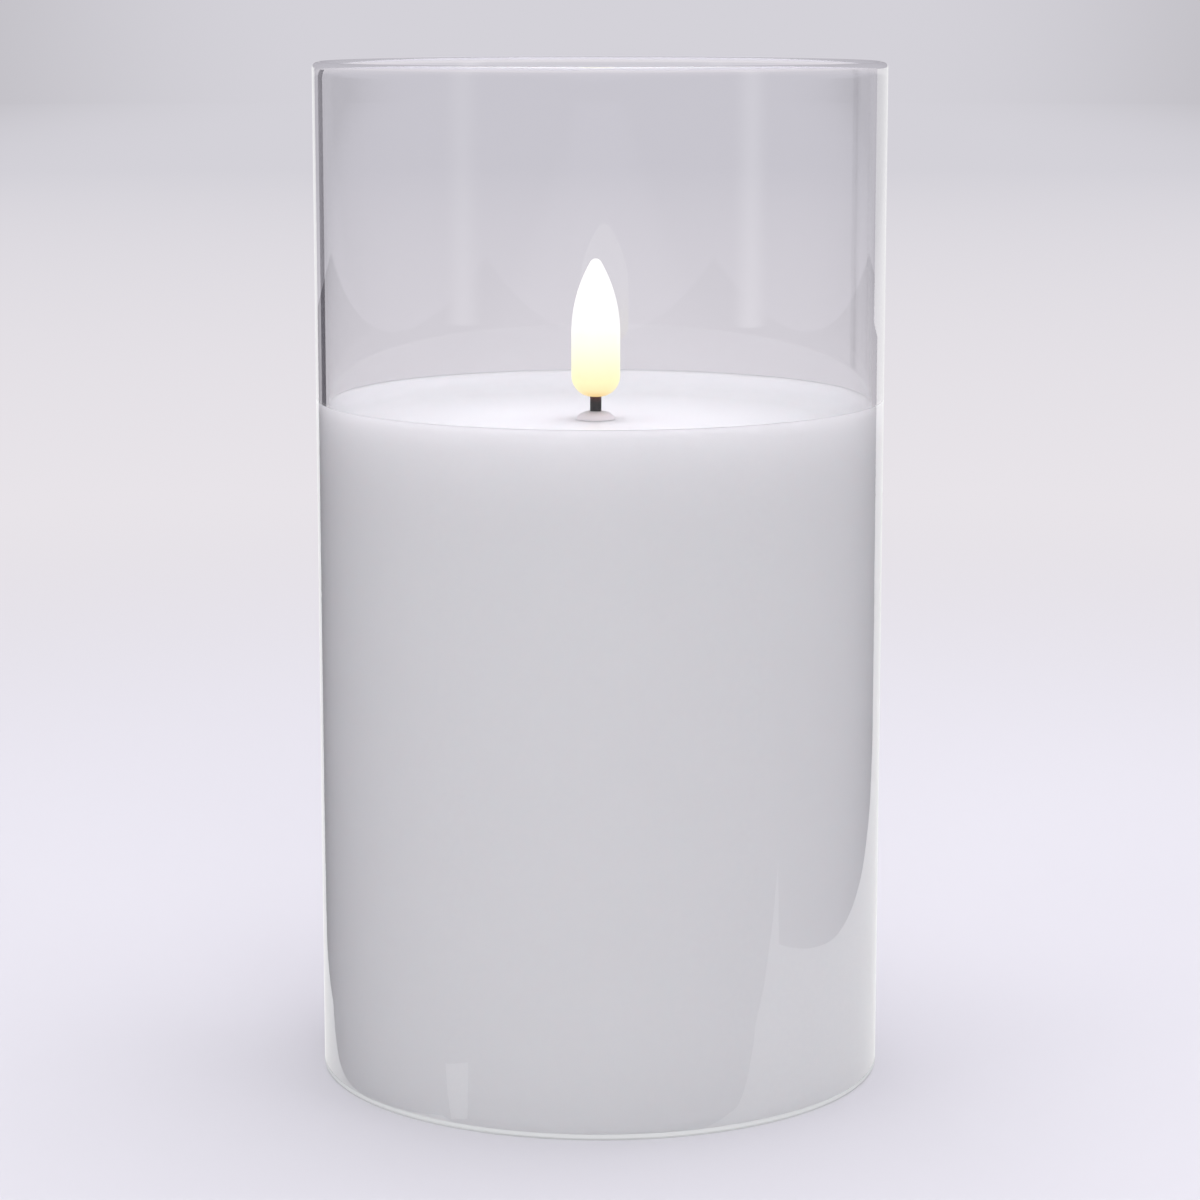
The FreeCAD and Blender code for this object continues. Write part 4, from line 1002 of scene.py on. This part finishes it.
# %% Marks under the base
PLATE_FACE_MM = 0.6
PRINT_THICK_MM = 0.08
RELIEF_MM = 0.4
RELIEF_ROOT_MM = 0.1
WORD_MM = 2.9
POLE_MM = 5.0
DOOR_WORD_MM = 4.4
DOOR_STROKE_SHARE = 0.02
WORD_ROW_MM = 35.0
TICK_ROW_MM = 32.4
TICK_SHARE = 0.45
TICK_DROP_MM = 1.2
TICK_WIDE_MM = 0.35
POLE_OUT_MM = 33.5
MINUS = "\u2212"
KNOB_PLACES = ((-2.0, -7.6, "ON"), (0.0, 0.0, "OFF"), (2.0, 9.4, "TIMER"))


def below(x_mm, y_mm, turn=0.0, z_mm=PLATE_FACE_MM):
    """Place something under the base, facing down, with the candle's front upwards."""
    place = Matrix.Translation((x_mm * MM, y_mm * MM, z_mm * MM))
    return place @ Matrix.Rotation(math.pi, 4, "X") @ Matrix.Rotation(math.radians(turn), 4, "Z")


marks = []
for knob_x, word_x, word in KNOB_PLACES:
    marks.append((letters(word, word, WORD_MM, PRINT_THICK_MM), below(word_x, WORD_ROW_MM)))
    run = (word_x - knob_x) * TICK_SHARE
    tick = bar(math.hypot(run, TICK_DROP_MM), TICK_WIDE_MM, PRINT_THICK_MM)
    lean = math.degrees(math.atan2(-TICK_DROP_MM, run))
    marks.append((tick, below(knob_x + run / 2, TICK_ROW_MM, lean)))
for node, heading in CELLS:
    low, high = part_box(node)
    row_y = (low.y + high.y) / 2 / MM
    for side in (1, -1):
        sign = letters("pole", "+" if side == heading else MINUS, POLE_MM, PRINT_THICK_MM)
        marks.append((sign, below(side * POLE_OUT_MM, row_y)))
grey_ink = moulded("pad_printed_grey_ink", ("#5E6065", "#6A6C70"), 0.55, 1.5, 0.3, 0.004)
base_marks = placed("printed_marks_on_base", gathered("printed_marks_on_base", marks), grey_ink)
print("marks on the base", len(base_marks.data.vertices), "vertices")

# %% Marks on the door
DOOR_WORDS = (("OPEN", 6.8), ("2 x AA 1.5 V", -13.8))
ARROW_WIDE_MM = 0.55
# Length, place along X, offset from the middle line, turn in degrees
ARROW = ((4.6, 15.8, 0.0, 0.0), (2.3, 17.2, 0.75, 40.0), (2.3, 17.2, -0.75, -40.0))

door_low, door_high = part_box("battery_door")
middle_y = (door_low.y + door_high.y) / 2 / MM
thick = RELIEF_MM + RELIEF_ROOT_MM
centre_z = PLATE_FACE_MM + RELIEF_ROOT_MM - thick / 2
marks = [(letters(word, word, DOOR_WORD_MM, thick, DOOR_STROKE_SHARE), below(x, middle_y, 0.0, centre_z))
         for word, x in DOOR_WORDS]
for length, x, rise, turn in ARROW:
    marks.append((bar(length, ARROW_WIDE_MM, thick), below(x, middle_y + rise, turn, centre_z)))
door_marks = placed("raised_marks_on_door", gathered("raised_marks_on_door", marks), white_abs,
                    "battery_door")
print("marks on the door", len(door_marks.data.vertices), "vertices")

# %% [markdown]
# The cells carry their size and their poles, printed in white on the dark sleeve. Print has no real
# thickness, so the letters are wrapped round the sleeve just proud of it. They are cut into narrow strips
# first, because a flat letter can only bend where it has edges.

# %% Print on the cells
PRINT_STRIP_MM = 0.4
PRINT_PROUD_MM = 0.03
CELL_WORD_MM = 5.5

# Text and its place along the cell in mm
CELL_PRINT = (("AA  1.5 V", -4.0), (MINUS, -20.5))

print_ink = finished("screen_printed_white_ink", 0.5, 0.004, {
    "Base Color": colour("#E9ECEA"), "Roughness": 0.35, "IOR": 1.5})


def wrapped(mesh, along_mm, node, heading):
    """Bend flat letters round a cell's sleeve, over the side that faces the door."""
    low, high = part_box(node)
    radius = (high.y - low.y) / 2
    middle = (low + high) / 2
    form = bmesh.new()
    form.from_mesh(mesh)
    edge = max(abs(vertex.co.y) for vertex in form.verts)
    strip = PRINT_STRIP_MM * MM
    for step in range(-int(edge / strip), int(edge / strip) + 1):
        everything = form.verts[:] + form.edges[:] + form.faces[:]
        bmesh.ops.bisect_plane(form, geom=everything, plane_co=(0, step * strip, 0), plane_no=(0, 1, 0))
    for vertex in form.verts:
        u, v, w = vertex.co
        turn = v / radius
        out = radius + w
        vertex.co = (middle.x + heading * (u + along_mm * MM), middle.y - heading * out * math.sin(turn),
                     middle.z - out * math.cos(turn))
    form.to_mesh(mesh)
    form.free()
    return mesh


still = Matrix.Identity(4)
for node, heading in CELLS:
    words = [(wrapped(letters("word", text, CELL_WORD_MM, PRINT_PROUD_MM * 2), along, node, heading), still)
             for text, along in CELL_PRINT]
    name = "print_on_" + node
    placed(name, gathered(name, words), print_ink)
    print(name, "heads", heading)

# %% [markdown]
# ## Solder
# The wires and the switch pins are soldered by hand. Solder wets what it joins and climbs it, so each
# joint is a small cone with a hollow flank, bright and slightly wavy.

# %% Solder joints
SOLDER_STEPS = 24
JOINT_FOOT_MM = 0.95
JOINT_TOP_MM = 0.42
JOINT_HEIGHT_MM = 0.8
JOINT_CORE_MM = 0.05
PIN_PITCH_MM = 3.0
PIN_PLACES = (-1.5, -0.5, 0.5, 1.5)
END_SLACK_MM = 0.2
JOINT_FLANK = ((1.0, 0.0), (0.62, 0.2), (0.3, 0.5), (0.1, 0.8), (0.0, 1.0))

solder = finished("hand_laid_tin_solder", 0.6, 0.02, {
    "Base Color": colour("#D2D3D3"), "Metallic": 1.0, "Roughness": 0.26})


def solder_cone():
    """One joint that stands on the origin, from its foot up its hollow flank."""
    spread = JOINT_FOOT_MM - JOINT_TOP_MM
    flank = [((JOINT_TOP_MM + spread * out) * MM, JOINT_HEIGHT_MM * up * MM) for out, up in JOINT_FLANK]
    core = [(JOINT_CORE_MM * MM, JOINT_HEIGHT_MM * MM), (JOINT_CORE_MM * MM, 0.0)]
    return turned("solder_cone", flank + core, SOLDER_STEPS)


feet = []
for name in ("lamp_wire_red", "lamp_wire_black", "battery_wire_red", "battery_wire_black"):
    ends = [vertex.co for vertex in nodes[name].data.vertices
            if abs(vertex.co.z - BOARD_TOP) < END_SLACK_MM * MM]
    middle = sum(ends, Vector()) / len(ends)
    feet.append((middle.x, middle.y))
switch_low, switch_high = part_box("switch_case")
middle = (switch_low + switch_high) / 2
feet += [(middle.x + place * PIN_PITCH_MM * MM, middle.y) for place in PIN_PLACES]
joints = [(solder_cone(), Matrix.Translation((x, y, BOARD_TOP))) for x, y in feet]
placed("solder_joints_on_board", gathered("solder_joints_on_board", joints), solder)
print("solder joints at", [(round(x / MM, 2), round(y / MM, 2)) for x, y in feet])
